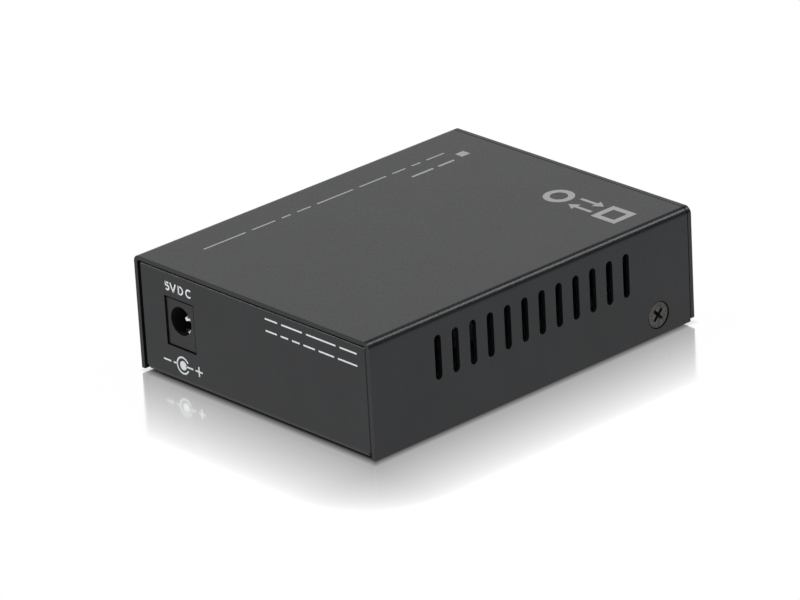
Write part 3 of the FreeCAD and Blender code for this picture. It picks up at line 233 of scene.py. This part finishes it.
# Painted shade: the jack's own plastic is given a near-black colour in its bore and along its outer edges,
# where they lie in shade, and it is rougher there.
JACK_SHADED_EDGE = 0.22 * mm       # edge round the face that is painted in shade and rough
JACK_FACE_SKIN = 0.05 * mm  # what lies deeper than this is the bore
jack_low, jack_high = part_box("power_jack_housing")
jack_x = (jack_low[0] + jack_high[0]) / 2
jack_plastic, tree, links = new_material("jack_plastic")
shader = tree["Principled BSDF"]
set_sockets(shader, IOR=1.5, Specular_IOR_Level=0.38)
maths = maths_for(tree, links)
at = own_place(tree, links)
off_axis = maths("ABSOLUTE", maths("SUBTRACT", at["X"], jack_x))
from_side = maths("SUBTRACT", (jack_high[0] - jack_low[0]) / 2, off_axis)
from_top = maths("SUBTRACT", jack_high[2], at["Z"])
from_mouth = maths("SUBTRACT", jack_high[1], at["Y"])
clear_of_edge = maths("GREATER_THAN", maths("MINIMUM", from_side, from_top), JACK_SHADED_EDGE)
unshaded_face = maths("MULTIPLY", clear_of_edge, maths("LESS_THAN", from_mouth, JACK_FACE_SKIN))
mould = noise(tree, links, 3800, detail=3)
unshaded_mottle = maths("MULTIPLY", unshaded_face, mould)
links.new(tint(tree, links, unshaded_mottle, (0.003, 0.003, 0.003), (0.016, 0.0166, 0.017)),
          shader.inputs["Base Color"])
links.new(maths("MAXIMUM", spread(tree, links, mould, 0.42, 0.55), maths("SUBTRACT", 1.0, unshaded_face)),
          shader.inputs["Roughness"])
add_bump(tree, links, shader, mould, 0.000008)
dress(jack_plastic, "power_jack_housing")

nickel_plate, tree, links = new_material("nickel_plate")
shader = tree["Principled BSDF"]
set_sockets(shader, Metallic=1.0)
draw_lines = noise(tree, links, 2200, detail=3, stretch=(1, 0.15, 1))
links.new(tint(tree, links, draw_lines, (0.74, 0.72, 0.68), (0.83, 0.81, 0.77)),
          shader.inputs["Base Color"])
links.new(spread(tree, links, draw_lines, 0.16, 0.28), shader.inputs["Roughness"])
dress(nickel_plate, "power_jack_pin", "power_jack_leaf", "power_jack_switch_terminal")


# ---------------------------------------------------------------------------
# Copper network jack
# A moulded black insert with eight gold-plated spring wires, inside a folded and tinned steel shield
# that is soldered to the board by its two legs.
# ---------------------------------------------------------------------------

dress(moulded_black, "copper_jack_body")

gold_plate, tree, links = new_material("gold_plate")
shader = tree["Principled BSDF"]
set_sockets(shader, Metallic=1.0)
flash = noise(tree, links, 3000, detail=2, stretch=(1, 0.2, 0.2))
links.new(tint(tree, links, flash, (0.83, 0.58, 0.22), (0.92, 0.70, 0.32)), shader.inputs["Base Color"])
links.new(spread(tree, links, flash, 0.18, 0.30), shader.inputs["Roughness"])
dress(gold_plate, "copper_jack_wires")

tinned_steel, tree, links = new_material("tinned_steel")
shader = tree["Principled BSDF"]
set_sockets(shader, Metallic=1.0)
roll = noise(tree, links, 700, detail=5, roughness=0.65, stretch=(1, 0.08, 1))
links.new(tint(tree, links, roll, (0.50, 0.50, 0.51), (0.66, 0.66, 0.67)), shader.inputs["Base Color"])
links.new(spread(tree, links, roll, 0.24, 0.40), shader.inputs["Roughness"])
add_bump(tree, links, shader, roll, 0.000006)
dress(tinned_steel, "copper_jack_shield")


# ---------------------------------------------------------------------------
# Fibre module cage
# A folded cage of tinned steel, pressed into the board, with a sprung collar that grips the front
# panel. The module's socket stands at its far end.
# ---------------------------------------------------------------------------

dress(tinned_steel, "module_cage", "module_cage_collar")
dress(moulded_black, "module_socket")
dress(gold_plate, "module_socket_contacts")


# ---------------------------------------------------------------------------
# Status lamps
# Six 3 mm lamps of diffused resin in a moulded holder, with tinned leads down to the board. The upper
# row is green and the lower row is amber.
# ---------------------------------------------------------------------------

def lamp_resin(name, dark, light):
    """Cloudy coloured resin that lets some light through."""
    material, tree, links = new_material(name)
    shader = tree["Principled BSDF"]
    set_sockets(shader, IOR=1.52, Transmission_Weight=0.12, Subsurface_Weight=0.2, Subsurface_Scale=0.001)
    cloud = noise(tree, links, 900, detail=2)
    links.new(tint(tree, links, cloud, dark, light), shader.inputs["Base Color"])
    links.new(spread(tree, links, cloud, 0.25, 0.36), shader.inputs["Roughness"])
    return material


dress(lamp_resin("amber_lamp_resin", (0.75, 0.38, 0.06), (0.85, 0.47, 0.10)), "lamp_1", "lamp_2", "lamp_3")
dress(lamp_resin("green_lamp_resin", (0.16, 0.55, 0.12), (0.24, 0.68, 0.18)), "lamp_4", "lamp_5", "lamp_6")
dress(moulded_black, "lamp_block")
dress(nickel_plate, "lamp_leads")


# ---------------------------------------------------------------------------
# Circuit board, its posts and its screws
# A green glass-fibre laminate with copper tracks under its lacquer. It stands on four pressed-in posts
# and is held by four pan-head screws.
# ---------------------------------------------------------------------------

laminate, tree, links = new_material("green_laminate")
shader = tree["Principled BSDF"]
set_sockets(shader, IOR=1.5, Roughness=0.3)
place = tree.new("ShaderNodeTexCoord")
tracks = tree.new("ShaderNodeTexBrick")
tracks.offset = 0.37
set_sockets(tracks, Scale=1.0, Brick_Width=6.4 * mm, Row_Height=1.3 * mm, Mortar_Size=0.18 * mm,
            Mortar_Smooth=0.3, Bias=0.0, Mortar=(0.02, 0.13, 0.05, 1),
            Color1=(0.008, 0.06, 0.026, 1), Color2=(0.010, 0.07, 0.03, 1))
links.new(place.outputs["Object"], tracks.inputs["Vector"])
links.new(tracks.outputs["Color"], shader.inputs["Base Color"])
add_bump(tree, links, shader, tracks.outputs["Fac"], 0.00002)
dress(laminate, "circuit_board")

zinc_plate, tree, links = new_material("zinc_plate")
shader = tree["Principled BSDF"]
set_sockets(shader, Metallic=1.0)
spangle = noise(tree, links, 1200, detail=4)
links.new(tint(tree, links, spangle, (0.46, 0.47, 0.49), (0.62, 0.62, 0.61)), shader.inputs["Base Color"])
links.new(spread(tree, links, spangle, 0.3, 0.45), shader.inputs["Roughness"])
corners = ("front_left", "front_right", "rear_left", "rear_right")
dress(zinc_plate, *(f"{kind}_{corner}" for kind in ("post", "board_screw") for corner in corners))


# ---------------------------------------------------------------------------
# Chips and small parts on the board
# Moulded epoxy packages with a fine matt grain, soldered down by their leads.
# ---------------------------------------------------------------------------

epoxy, tree, links = new_material("chip_epoxy")
shader = tree["Principled BSDF"]
set_sockets(shader, IOR=1.5)
speckle = noise(tree, links, 6000, detail=2)
links.new(tint(tree, links, speckle, (0.018, 0.018, 0.019), (0.035, 0.035, 0.036)),
          shader.inputs["Base Color"])
links.new(spread(tree, links, speckle, 0.5, 0.65), shader.inputs["Roughness"])
add_bump(tree, links, shader, speckle, 0.000006)
dress(epoxy, "converter_chip", "line_transformer", "supply_controller", "supply_bridge_1",
      "supply_bridge_2")

ceramic, tree, links = new_material("small_part_ceramic")
shader = tree["Principled BSDF"]
set_sockets(shader, IOR=1.55)
batch = noise(tree, links, 260, detail=1)
links.new(tint(tree, links, batch, (0.03, 0.028, 0.026), (0.36, 0.25, 0.15)), shader.inputs["Base Color"])
links.new(spread(tree, links, batch, 0.4, 0.55), shader.inputs["Roughness"])
dress(ceramic, "small_board_parts")


# ---------------------------------------------------------------------------
# Heat sink, capacitors and crystal
# An extruded and black-anodised heat sink; bright aluminium capacitor cans in plastic feet; a low
# nickel-silver can round the crystal.
# ---------------------------------------------------------------------------

anodised, tree, links = new_material("black_anodised_aluminium")
shader = tree["Principled BSDF"]
set_sockets(shader, Metallic=0.7)
extrusion = noise(tree, links, 1800, detail=3, stretch=(1, 0.05, 1))
links.new(tint(tree, links, extrusion, (0.022, 0.022, 0.025), (0.045, 0.045, 0.05)),
          shader.inputs["Base Color"])
links.new(spread(tree, links, extrusion, 0.34, 0.46), shader.inputs["Roughness"])
dress(anodised, "heat_sink")

bright_can, tree, links = new_material("bright_aluminium_can")
shader = tree["Principled BSDF"]
set_sockets(shader, Metallic=1.0)
drawn = noise(tree, links, 1500, detail=3, stretch=(1, 1, 0.1))
links.new(tint(tree, links, drawn, (0.72, 0.72, 0.73), (0.84, 0.84, 0.85)), shader.inputs["Base Color"])
links.new(spread(tree, links, drawn, 0.22, 0.34), shader.inputs["Roughness"])
dress(bright_can, "input_capacitor_can", "output_capacitor_can")
dress(moulded_black, "input_capacitor_base", "output_capacitor_base")
dress(tinned_steel, "clock_crystal")


# ---------------------------------------------------------------------------
# Power transformer and inductor
# Pressed ferrite cores, dark grey and gritty. The transformer's winding is wrapped in black tape.
# ---------------------------------------------------------------------------

ferrite, tree, links = new_material("ferrite")
shader = tree["Principled BSDF"]
set_sockets(shader, IOR=1.7)
grit = noise(tree, links, 2400, detail=5, roughness=0.7)
links.new(tint(tree, links, grit, (0.045, 0.045, 0.048), (0.09, 0.09, 0.094)), shader.inputs["Base Color"])
links.new(spread(tree, links, grit, 0.5, 0.7), shader.inputs["Roughness"])
add_bump(tree, links, shader, grit, 0.00002)
dress(ferrite, "power_transformer_core", "power_inductor")

tape, tree, links = new_material("winding_tape")
shader = tree["Principled BSDF"]
set_sockets(shader, IOR=1.5)
laps = noise(tree, links, 900, detail=2, stretch=(0.1, 0.1, 1))
links.new(tint(tree, links, laps, (0.018, 0.017, 0.016), (0.034, 0.032, 0.030)),
          shader.inputs["Base Color"])
links.new(spread(tree, links, laps, 0.25, 0.4), shader.inputs["Roughness"])
dress(tape, "power_transformer_bobbin")


# ---------------------------------------------------------------------------
# Marks round the power jack
# Screen-printed in white on the rear panel: the voltage and kind of current above the jack, and below
# it the sign that the plug's sleeve is negative and its centre positive.
# ---------------------------------------------------------------------------

INK_THICKNESS = 0.012 * mm
INK_LIFT = 0.004 * mm       # keeps the ink's back clear of the paint
MARK_STROKE = 0.38 * mm


def ink(name, dark, light, rough):
    """Printing ink, slightly uneven where the screen left it thin."""
    material, tree, links = new_material(name)
    shader = tree["Principled BSDF"]
    set_sockets(shader, IOR=1.45)
    thin = noise(tree, links, 4200, detail=3)
    links.new(tint(tree, links, thin, dark, light), shader.inputs["Base Color"])
    links.new(spread(tree, links, thin, rough - 0.05, rough + 0.05), shader.inputs["Roughness"])
    return material


white_ink = ink("white_ink", (0.70, 0.73, 0.75), (0.78, 0.81, 0.83), 0.5)


def bar(mesh, start, end, stroke):
    """Adds a flat stroke between two (u, v) points to a bmesh."""
    start, end = Vector((*start, 0)), Vector((*end, 0))
    length = (end - start).length
    angle = math.atan2(end.y - start.y, end.x - start.x)
    made = bmesh.ops.create_grid(mesh, x_segments=1, y_segments=1, size=0.5)["verts"]
    bmesh.ops.scale(mesh, vec=(length, stroke, 1), verts=made)
    bmesh.ops.rotate(mesh, cent=(0, 0, 0), matrix=Matrix.Rotation(angle, 3, "Z"), verts=made)
    bmesh.ops.translate(mesh, vec=(start + end) / 2, verts=made)


def disc(mesh, centre, radius):
    """Adds a filled disc to a bmesh."""
    bmesh.ops.create_circle(mesh, cap_ends=True, segments=40, radius=radius,
                            matrix=Matrix.Translation((*centre, 0)))


def arc(mesh, centre, radius, stroke, start, end):
    """Adds part of a ring to a bmesh, by bending a straight strip from one angle to another in degrees."""
    strip = bmesh.ops.create_grid(mesh, x_segments=40, y_segments=1, size=0.5)["verts"]
    for vert in strip:
        turn = math.radians(start + (vert.co.x + 0.5) * (end - start))
        reach = radius - vert.co.y * stroke
        vert.co = (centre[0] + reach * math.cos(turn), centre[1] + reach * math.sin(turn), 0)


def print_on(name, mesh, origin, right, up, material):
    """Turns a flat bmesh in the (u, v) plane into a thin print on a face of the case."""
    right, up = Vector(right), Vector(up)
    out = right.cross(up)
    bmesh.ops.recalc_face_normals(mesh, faces=mesh.faces)
    for face in mesh.faces:
        if face.normal.z < 0:
            face.normal_flip()
    sheet = bmesh.ops.extrude_face_region(mesh, geom=mesh.faces[:])
    raised = [item for item in sheet["geom"] if isinstance(item, bmesh.types.BMVert)]
    bmesh.ops.translate(mesh, vec=(0, 0, INK_THICKNESS), verts=raised)
    bmesh.ops.recalc_face_normals(mesh, faces=mesh.faces)
    to_case = Matrix((right, up, out)).transposed().to_4x4()
    to_case.translation = Vector(origin) + out * INK_LIFT
    bmesh.ops.transform(mesh, matrix=to_case, verts=mesh.verts)
    data = bpy.data.meshes.new(name)
    mesh.to_mesh(data)
    mesh.free()
    data.materials.append(material)
    piece = bpy.data.objects.new(name, data)
    bpy.context.scene.collection.objects.link(piece)
    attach(piece, "root")


# The panel's face lies at the tray's rear; u runs to the reader's right, which is -X there.
case_low, case_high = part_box("top_cover")
panel_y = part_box("base_tray")[1][1]
case_under = case_low[2]
panel_foot = (jack_x, panel_y, case_under)

# The sign: a broken ring round a dot, with a minus on its sleeve's side and a plus on its centre's.
marks = bmesh.new()
ring_u, ring_v, ring_r = -0.05 * mm, 4.2 * mm, 1.85 * mm
arc(marks, (ring_u, ring_v), ring_r, MARK_STROKE, 28, 332)
disc(marks, (ring_u + 0.1 * mm, ring_v), 1.05 * mm)
for start_u, end_u in ((0.9 * mm, 3.3 * mm), (-3.0 * mm, -ring_r), (-6.2 * mm, -3.8 * mm)):
    bar(marks, (ring_u + start_u, ring_v), (ring_u + end_u, ring_v), MARK_STROKE)
plus_u, plus_reach = ring_u + 5.15 * mm, 1.14 * mm
bar(marks, (plus_u, ring_v - plus_reach), (plus_u, ring_v + plus_reach), MARK_STROKE)
for way in (-1, 1):
    bar(marks, (plus_u + way * MARK_STROKE / 2, ring_v), (plus_u + way * plus_reach, ring_v), MARK_STROKE)
print_on("polarity_mark", marks, panel_foot, (-1, 0, 0), (0, 0, 1), white_ink)

# The voltage and kind of current, in plain strokes: foot_v and head_v are the lines they stand between.
label = bmesh.new()
foot_v, head_v = 20.8 * mm, 22.45 * mm
height = head_v - foot_v
half_height = height / 2
over = MARK_STROKE / 2      # how far an upright stroke runs past those lines

five_u, bowl_r = -4.0 * mm, height * 0.3
bar(label, (five_u + 0.12 * mm, head_v), (five_u + 1.12 * mm, head_v), MARK_STROKE)
bar(label, (five_u + 0.16 * mm, head_v + over), (five_u + 0.1 * mm, foot_v + half_height), MARK_STROKE)
arc(label, (five_u + 0.62 * mm, foot_v + bowl_r), bowl_r, MARK_STROKE, -150, 138)

vee_u, half_vee = five_u + 1.6 * mm, 0.85 * mm
for top_u in (vee_u, vee_u + 2 * half_vee):
    bar(label, (top_u, head_v + over), (vee_u + half_vee, foot_v - over), MARK_STROKE)

dee_u = vee_u + 2.6 * mm
bar(label, (dee_u, foot_v - over), (dee_u, head_v + over), MARK_STROKE)
for line_v in (head_v, foot_v):
    bar(label, (dee_u, line_v), (dee_u + 0.55 * mm, line_v), MARK_STROKE)
arc(label, (dee_u + 0.5 * mm, foot_v + half_height), half_height, MARK_STROKE, -90, 90)

cee_u = dee_u + 3.25 * mm
arc(label, (cee_u, foot_v + half_height), half_height, MARK_STROKE, 48, 312)
print_on("supply_mark", label, panel_foot, (-1, 0, 0), (0, 0, 1), white_ink)


# ---------------------------------------------------------------------------
# Plain rules and signs
# Screen-printed: two dashed white rules high on the rear panel; on the cover, in light grey, two
# dashed rules, a small square and a sign of two sockets, square and round, with arrows between them.
# ---------------------------------------------------------------------------

def dashed(mesh, start, end, lengths, gap, stroke):
    """Adds a dashed rule along one axis of a bmesh, scaled so that its dashes fill it."""
    (u0, v0), (u1, v1) = start, end
    whole = sum(lengths) + gap * (len(lengths) - 1)
    at = 0.0
    for length in lengths:
        a, b = at / whole, (at + length) / whole
        bar(mesh, (u0 + (u1 - u0) * a, v0 + (v1 - v0) * a),
            (u0 + (u1 - u0) * b, v0 + (v1 - v0) * b), stroke)
        at += length + gap


RULE_STROKE = 0.36 * mm
rule_start, rule_end = 4.5 * mm, 32.4 * mm
rules = bmesh.new()
for rule_v, dashes in ((22.8 * mm, (3, 5, 7, 4)), (20.1 * mm, (3, 2, 2, 3, 4, 5))):
    dashed(rules, (rule_start, rule_v), (rule_end, rule_v), dashes, 1.0, RULE_STROKE)
print_on("rear_rules", rules, (0, panel_y, case_under), (-1, 0, 0), (0, 0, 1), white_ink)

grey_ink = ink("grey_ink", (0.24, 0.24, 0.245), (0.29, 0.29, 0.295), 0.5)
cover_top = case_high[2]
top_rules = bmesh.new()
long_x, short_x = 26.7 * mm, 22.0 * mm
dashed(top_rules, (long_x, -34.4 * mm), (long_x, 36.0 * mm), (4, 2, 3, 6, 8, 3, 2, 5, 9), 1.4, 0.5 * mm)
dashed(top_rules, (short_x, -33.0 * mm), (short_x, -20.3 * mm), (3, 4), 1.0, 0.7 * mm)
square_x, square_y, square_width, square_length = 23.2 * mm, -36.75 * mm, 2.3 * mm, 2.5 * mm
bar(top_rules, (square_x - square_width / 2, square_y), (square_x + square_width / 2, square_y),
    square_length)
print_on("cover_rules", top_rules, (0, 0, cover_top), (1, 0, 0), (0, 1, 0), grey_ink)

sign = bmesh.new()
sign_v = -33.0 * mm
socket, wall = 7.0 * mm, 1.5 * mm
left_u, right_u = -30.5 * mm, -7.0 * mm
for end in (-1, 1):
    edge_v = sign_v + end * (socket - wall) / 2
    bar(sign, (left_u, edge_v), (left_u + socket, edge_v), wall)
for edge_u in (left_u + wall / 2, left_u + socket - wall / 2):
    bar(sign, (edge_u, sign_v - socket / 2 + wall), (edge_u, sign_v + socket / 2 - wall), wall)
arc(sign, (right_u - socket / 2, sign_v), (socket - wall) / 2, wall, 0, 360)
ARROW_GAP, ARROW_LANE, ARROW_SHAFT = 1.3 * mm, 1.9 * mm, 0.9 * mm
ARROW_HEAD, ARROW_BARB = 2.3 * mm, 1.5 * mm
arrow_low, arrow_high = left_u + socket + ARROW_GAP, right_u - socket - ARROW_GAP
for way in (-1, 1):
    tail, tip = (arrow_low, arrow_high) if way > 0 else (arrow_high, arrow_low)
    neck = tip - way * ARROW_HEAD
    lane = sign_v + way * ARROW_LANE
    bar(sign, (tail, lane), (neck, lane), ARROW_SHAFT)
    corners = [(tip, lane), (neck, lane + ARROW_BARB), (neck, lane - ARROW_BARB)]
    sign.faces.new([sign.verts.new((*corner, 0)) for corner in corners])
print_on("cover_sign", sign, (0, 0, cover_top), (1, 0, 0), (0, 1, 0), grey_ink)


# ---------------------------------------------------------------------------
# Floor and backdrop
# A pale, slightly glossy table under the case, which shows the case's soft reflection close to it and
# is plain white farther out, and white air all round.
# ---------------------------------------------------------------------------

floor_mesh = bmesh.new()
bmesh.ops.create_grid(floor_mesh, x_segments=1, y_segments=1, size=6.0)
floor_data = bpy.data.meshes.new("floor")
floor_mesh.to_mesh(floor_data)
floor_mesh.free()
floor = bpy.data.objects.new("floor", floor_data)
bpy.context.scene.collection.objects.link(floor)

floor_paint, tree, links = new_material("pale_floor")
tree.remove(tree["Principled BSDF"])
out = tree["Material Output"]
diffuse = tree.new("ShaderNodeBsdfDiffuse")
set_sockets(diffuse, Color=(0.82, 0.82, 0.82, 1))
white = tree.new("ShaderNodeEmission")
set_sockets(white, Color=(1, 1, 1, 1), Strength=1.0)
gloss = tree.new("ShaderNodeBsdfGlossy")
set_sockets(gloss, Color=(1, 1, 1, 1), Roughness=0.12)
path = tree.new("ShaderNodeLightPath")

# How far a point of the floor lies outside the part's footprint, and how deep inside it.
REFLECTION_REACH = 21.5 * mm
REFLECTION_STRENGTH = 0.62
maths = maths_for(tree, links)
at = own_place(tree, links)
over_x = maths("SUBTRACT", maths("ABSOLUTE", at["X"]), cad_box[1][0])
over_y = maths("SUBTRACT", maths("ABSOLUTE", at["Y"]), cad_box[1][1])
away = distance(maths, maths("MAXIMUM", over_x, 0.0), maths("MAXIMUM", over_y, 0.0))
inside = maths("MINIMUM", maths("MAXIMUM", over_x, over_y), 0.0)
fading = maths("SUBTRACT", 1.0, maths("DIVIDE", away, REFLECTION_REACH))
near = maths("POWER", maths("MAXIMUM", fading, 0.0), 0.7)

# Painted shadow: the floor's white glow is dimmed under the case, which stands on low feet, and just round
# its lower edge.
shade = tree.new("ShaderNodeMapRange")
set_sockets(shade, From_Min=-1.6 * mm, From_Max=0.8 * mm, To_Min=0.02, To_Max=1.0)
links.new(maths("ADD", away, inside), shade.inputs["Value"])
links.new(shade.outputs["Result"], white.inputs["Strength"])

seen = maths("MAXIMUM", maths("MAXIMUM", path.outputs["Is Camera Ray"], path.outputs["Is Glossy Ray"]),
             path.outputs["Is Transmission Ray"])
mirror = tree.new("ShaderNodeMixShader")
links.new(maths("MULTIPLY", maths("MULTIPLY", near, REFLECTION_STRENGTH), path.outputs["Is Camera Ray"]),
          mirror.inputs[0])
links.new(white.outputs[0], mirror.inputs[1])
links.new(gloss.outputs[0], mirror.inputs[2])
pick = tree.new("ShaderNodeMixShader")
links.new(seen, pick.inputs[0])
links.new(diffuse.outputs[0], pick.inputs[1])
links.new(mirror.outputs[0], pick.inputs[2])
links.new(pick.outputs[0], out.inputs["Surface"])
floor.data.materials.append(floor_paint)

world = bpy.data.worlds.new("studio")
bpy.context.scene.world = world
world.use_nodes = True
tree, links = world.node_tree.nodes, world.node_tree.links
maths = maths_for(tree, links)
air = tree["Background"]
air.inputs["Color"].default_value = (1, 1, 1, 1)
path = tree.new("ShaderNodeLightPath")
seen = maths("MAXIMUM", path.outputs["Is Camera Ray"], path.outputs["Is Transmission Ray"])
plain = maths("ADD", maths("MULTIPLY", seen, 0.2), 0.8)

# Polished and painted faces show a white sweep on one side of the room and its dimmer air elsewhere.
place = tree.new("ShaderNodeTexCoord")
toward = tree.new("ShaderNodeVectorMath")
toward.operation = "DOT_PRODUCT"
toward.inputs[1].default_value = (0.743, -0.669, 0.0)
links.new(place.outputs["Generated"], toward.inputs[0])
sweep = tree.new("ShaderNodeMapRange")
sweep.interpolation_type = "SMOOTHSTEP"
set_sockets(sweep, From_Min=0.68, From_Max=0.92, To_Min=0.10, To_Max=1.0)
links.new(toward.outputs["Value"], sweep.inputs["Value"])
mirrored = maths("MULTIPLY", path.outputs["Is Glossy Ray"], maths("SUBTRACT", 1.0, seen))
extra = maths("MULTIPLY", mirrored, maths("SUBTRACT", sweep.outputs["Result"], plain))
links.new(maths("ADD", plain, extra), air.inputs["Strength"])


# ---------------------------------------------------------------------------
# Studio lamps and camera
# Three square soft lamps: beyond the ports' end, beside the right-hand rear corner and overhead. The
# camera is a long lens that looks down a little on the corner between the rear and the left side.
# ---------------------------------------------------------------------------

def softbox(name, place, size, power):
    """A square lamp that faces the case."""
    lamp = bpy.data.lights.new(name, "AREA")
    lamp.shape, lamp.size, lamp.energy = "SQUARE", size, power
    holder = bpy.data.objects.new(name, lamp)
    bpy.context.scene.collection.objects.link(holder)
    holder.location = place
    holder.rotation_euler = (-Vector(place)).to_track_quat("-Z", "Y").to_euler()


softbox("far_box", (-0.30, -0.60, 0.71), 0.31, 2.8)
softbox("near_box", (0.65, 0.38, 0.60), 0.32, 2.1)
softbox("top_box", (0.0, 0.0, 1.1), 0.7, 2.0)

camera_data = bpy.data.cameras.new("camera")
camera = bpy.data.objects.new("camera", camera_data)
bpy.context.scene.collection.objects.link(camera)
bpy.context.scene.camera = camera
camera_data.sensor_width = 36.0
camera_data.lens = 241.02
camera_data.clip_start, camera_data.clip_end = 0.05, 20.0
azimuth, elevation, roll = (math.radians(angle) for angle in (227.9447, 23.2758, -3.2197))
back = Vector((math.sin(azimuth) * math.cos(elevation), -math.cos(azimuth) * math.cos(elevation),
               math.sin(elevation)))
level = Vector((math.cos(azimuth), math.sin(azimuth), 0))
above = back.cross(level)
right = level * math.cos(roll) + above * math.sin(roll)
up = above * math.cos(roll) - level * math.sin(roll)
stance = Matrix((right, up, back)).transposed().to_4x4()
stance.translation = Vector((-0.777174, 0.706230, 0.462005 + case_under))
camera.matrix_world = stance

bpy.context.scene.view_settings.view_transform = "Standard"
